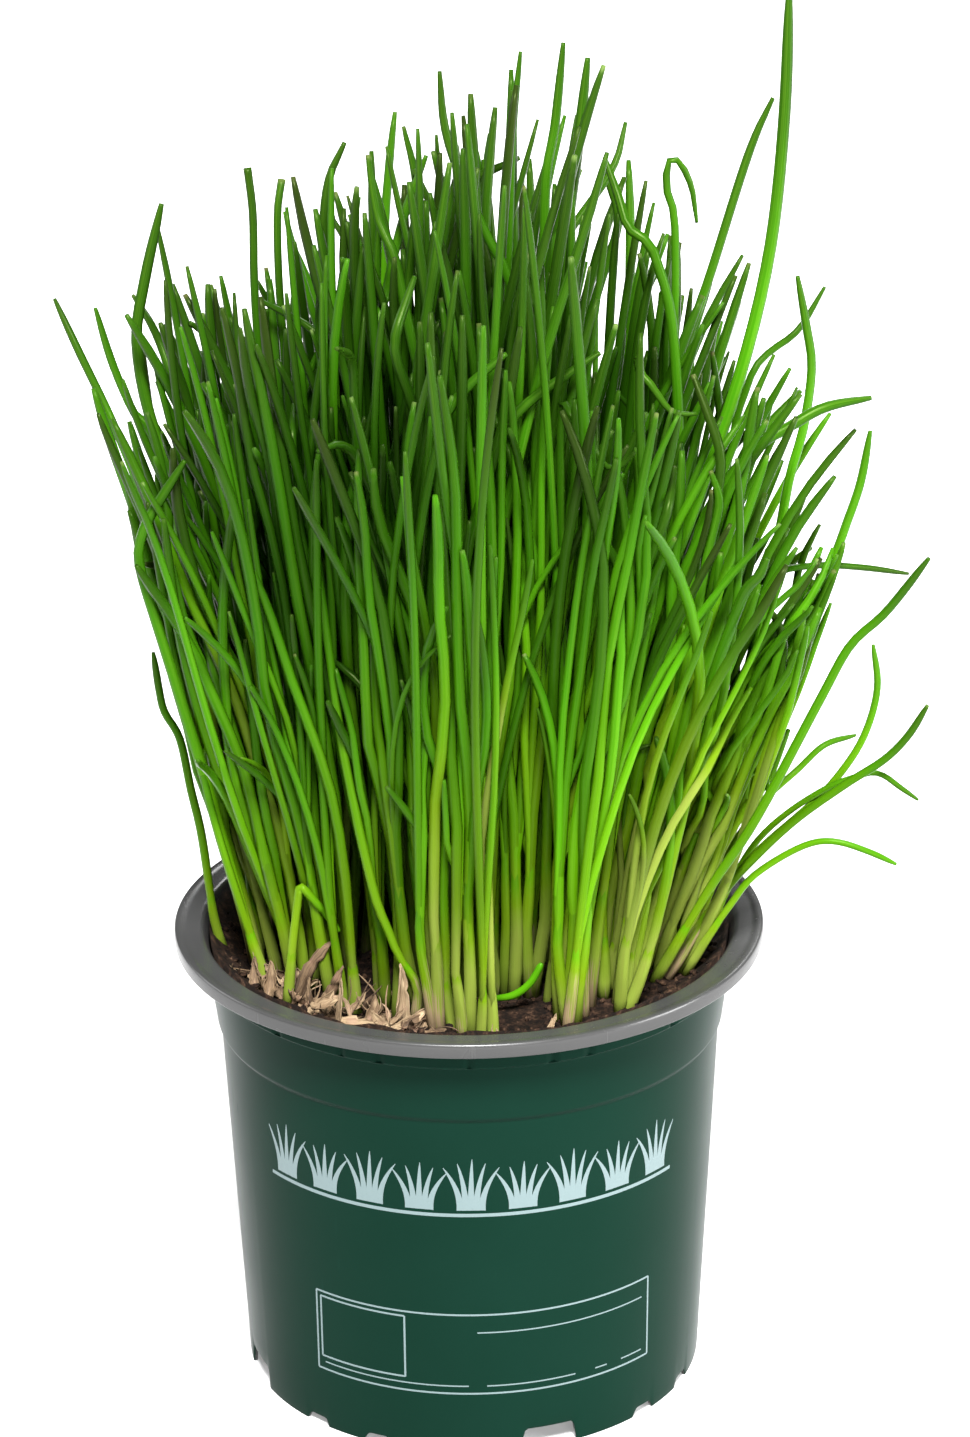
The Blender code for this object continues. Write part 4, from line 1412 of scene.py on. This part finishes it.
def make_husks(name, shreds, rng):
    """The husks around one packed sheath, with small shreds and fibres between them."""
    reach, thickness = 55 * MM, 0.12 * MM
    bm = bmesh.new()
    bm.verts.layers.float.new("tint")
    bm.loops.layers.uv.new("Husk")
    add_placed_husks(bm, name)
    add_shreds(bm, box_middle(name), shreds, rng)
    for vert in bm.verts:
        vert.co.xy *= min(1, reach / vert.co.xy.length)
        vert.co.z = max(vert.co.z, husk_floor(vert.co))
    bm.normal_update()
    made = bmesh.ops.extrude_face_region(bm, geom=bm.faces[:], use_keep_orig=True)["geom"]
    for vert in of_kind(made, bmesh.types.BMVert):
        vert.co -= vert.normal * thickness
    bmesh.ops.recalc_face_normals(bm, faces=bm.faces)
    return bm


# The stage.

# Round soft lights: where each one stands, its width and its power in watts.
LIGHTS = {
    "key_light": ((0.05, -1.28, 1.85), 0.6, 200),
    "front_light": ((0.5, -1.7, 0.9), 0.5, 12),
    "fill_light": ((1.3, -0.3, 0.42), 0.7, 31),
    "back_light": ((0.4, 1.3, 1.5), 0.8, 36),
    "left_light": ((-1.3, 0.5, 0.7), 0.8, 10),
}
LIT_POINT = Vector((0, 0, 0.15))


def add_light(name, place, width, power):
    """A round soft light that is aimed at the middle of the plant."""
    light = bpy.data.lights.new(name, "AREA")
    light.shape = "DISK"
    light.size = width
    light.energy = power
    lamp = add_object(name, light)
    lamp.location = place
    lamp.rotation_euler = (LIT_POINT - Vector(place)).to_track_quat("-Z", "Y").to_euler()


def add_floor():
    """The wide pale floor that the pot stands on."""
    bm = bmesh.new()
    bmesh.ops.create_grid(bm, x_segments=1, y_segments=1, size=6)
    mesh = to_mesh("floor", bm)
    mesh.materials.append(floor_finish())
    floor = add_object("floor", mesh)


def add_camera(lens):
    """A camera in front of the pot that looks down on it by 22 degrees."""
    place, pitch, roll = (0.005, -0.9354, 0.5332), math.radians(90 - 21.9), -0.0104
    camera = add_object("camera", bpy.data.cameras.new("camera"))
    camera.data.lens = lens
    camera.data.sensor_width = 36
    camera.data.shift_x = -0.003
    camera.data.shift_y = -0.0129
    camera.data.clip_end = 30
    camera.matrix_world = (Matrix.Translation(place) @ Matrix.Rotation(pitch, 4, "X")
                           @ Matrix.Rotation(roll, 4, "Z"))
    bpy.context.scene.camera = camera


def add_sky(strength):
    """An even white light from all around."""
    world = bpy.data.worlds.new("sky")
    world.use_nodes = True
    shader = world.node_tree.nodes["Background"]
    shader.inputs["Color"].default_value = (1, 1, 1, 1)
    shader.inputs["Strength"].default_value = strength
    bpy.context.scene.world = world


# Operators.

class CHIVES_OT_stage(bpy.types.Operator):
    """Add the pale floor, the soft lights and the camera"""

    bl_idname = "chives.stage"
    bl_label = "Stage"

    def execute(self, context):
        settings = context.scene.chive_stage
        context.scene.view_settings.view_transform = "Standard"
        add_floor()
        add_camera(settings.lens)
        add_sky(settings.sky)
        for name, (place, width, power) in LIGHTS.items():
            add_light(name, place, width, power)
        return {"FINISHED"}


class CHIVES_OT_pot(bpy.types.Operator):
    """Build the herb pot with its rim, shoulder, foot gaps and drain holes"""

    bl_idname = "chives.pot"
    bl_label = "Pot"

    def execute(self, context):
        settings = context.scene.chive_pot
        bm = make_wall(settings)
        add_floor_disc(bm, settings.wall)
        finishes = [
            pot_finish("printed_outside", tuple(settings.outside), (0.004, 0.021, 0.0145),
                       roughness=0.32, specular=0.025),
            pot_finish("bare_plastic", tuple(settings.plastic), (0.055, 0.055, 0.053),
                       roughness=0.26, specular=0.32),
        ]
        pot = add_piece("herb_pot", to_mesh("herb_pot", bm), finishes)
        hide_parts("pot")
        return {"FINISHED"}


class CHIVES_OT_print(bpy.types.Operator):
    """Print the row of grass tufts and the empty label box on the pot"""

    bl_idname = "chives.print"
    bl_label = "Print"

    def execute(self, context):
        ink = print_finish(tuple(context.scene.chive_pot.print_colour))
        for name, bm in (("leaf_print", leaf_print()), ("label_frame", label_frame())):
            add_piece(name, to_mesh(name, bm), [ink], smooth=False)
        return {"FINISHED"}


class CHIVES_OT_soil(bpy.types.Operator):
    """Fill the pot with lumpy soil and scatter crumbs on it"""

    bl_idname = "chives.soil"
    bl_label = "Soil"

    def execute(self, context):
        rng = random.Random(context.scene.chive_plant.seed)
        wall = context.scene.chive_pot.wall / MM
        bm = make_soil(context.scene.chive_soil, wall, rng)
        soil = add_piece("potting_soil", to_mesh("potting_soil", bm), [soil_finish()])
        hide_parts("soil")
        return {"FINISHED"}


class CHIVES_OT_shoots(bpy.types.Operator):
    """Grow the shoots of every clump and move their leaves clear of each other"""

    bl_idname = "chives.shoots"
    bl_label = "Shoots"

    def execute(self, context):
        settings = context.scene.chive_plant
        rng = random.Random(settings.seed)
        stalks = guide_stalks(rng)
        stalks += random_stalks(settings, stalks, rng)
        move_apart(stalks, settings.rounds)
        stalks += sheath_stalks(stalks, rng)
        forms = {
            "leaf": leaf_form("leaf_form", sides=6, rings=14),
            "long_leaf": leaf_form("long_leaf_form", sides=7, rings=40),
            "cut_leaf": leaf_form("cut_leaf_form", sides=9, rings=30, cut=True),
            "sheath": leaf_form("sheath_form", sides=8, rings=7),
        }
        finishes = [leaf_finish()]
        for tuft in TUFTS:
            mine = [stalk for stalk in stalks if stalk.tuft == tuft]
            name = tuft.replace("tuft", "shoots")
            piece = add_piece(name, shoots_mesh(name, mine, forms), finishes)
            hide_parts(tuft)
        for form in forms.values():
            bpy.data.meshes.remove(form)
        return {"FINISHED"}


class CHIVES_OT_husks(bpy.types.Operator):
    """Heap the dry papery sheaths on the soil"""

    bl_idname = "chives.husks"
    bl_label = "Husks"

    def execute(self, context):
        settings = context.scene.chive_plant
        rng = random.Random(settings.seed + 3)
        finish = husk_finish()
        for name in HUSKS:
            heap = name.replace("dry_sheath", "husks")
            mesh = to_mesh(heap, make_husks(name, settings.shreds, rng))
            piece = add_piece(heap, mesh, [finish])
            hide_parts(name)
        return {"FINISHED"}


class CHIVES_OT_fallen(bpy.types.Operator):
    """Lay the loose piece of leaf on the soil"""

    bl_idname = "chives.fallen"
    bl_label = "Fallen leaf"

    def execute(self, context):
        rng = random.Random(context.scene.chive_plant.seed + 5)
        forms = {"long_leaf": leaf_form("fallen_form", sides=8, rings=40)}
        path = smooth_line(np.array(FALLEN) * MM, 40)
        stalk = Stalk("loose_leaf", 0, path, 0.9 * MM, "long_leaf", pale=rng.uniform(-2.6, -2))
        mesh = shoots_mesh("fallen_leaf", [stalk], forms)
        piece = add_piece("fallen_leaf", mesh, [leaf_finish()])
        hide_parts("loose_leaf")
        bpy.data.meshes.remove(forms["long_leaf"])
        return {"FINISHED"}


class CHIVES_PT_panel(bpy.types.Panel):
    """Buttons for every piece of the plant and its stage"""

    bl_idname = "CHIVES_PT_panel"
    bl_label = "Potted Chives"
    bl_space_type = "VIEW_3D"
    bl_region_type = "UI"
    bl_category = "Chives"

    def draw(self, context):
        for operator in OPERATORS:
            self.layout.operator(operator.bl_idname)
        for owner in SETTINGS:
            box = self.layout.box()
            group = getattr(context.scene, owner)
            for name in group.__annotations__:
                box.prop(group, name)


OPERATORS = (CHIVES_OT_stage, CHIVES_OT_pot, CHIVES_OT_print, CHIVES_OT_soil,
             CHIVES_OT_shoots, CHIVES_OT_husks, CHIVES_OT_fallen)
SETTINGS = {"chive_pot": PotSettings, "chive_plant": PlantSettings,
            "chive_soil": SoilSettings, "chive_stage": StageSettings}


def register():
    for kind in (*SETTINGS.values(), *OPERATORS, CHIVES_PT_panel):
        bpy.utils.register_class(kind)
    for owner, kind in SETTINGS.items():
        setattr(bpy.types.Scene, owner, PointerProperty(type=kind))


def unregister():
    for owner in SETTINGS:
        delattr(bpy.types.Scene, owner)
    for kind in (CHIVES_PT_panel, *reversed(OPERATORS), *SETTINGS.values()):
        bpy.utils.unregister_class(kind)


def main():
    register()
    bpy.ops.chives.stage()
    bpy.ops.chives.pot()
    bpy.ops.chives.print()
    bpy.ops.chives.soil()
    bpy.ops.chives.shoots()
    bpy.ops.chives.husks()
    bpy.ops.chives.fallen()


if __name__ == "__main__":
    main()
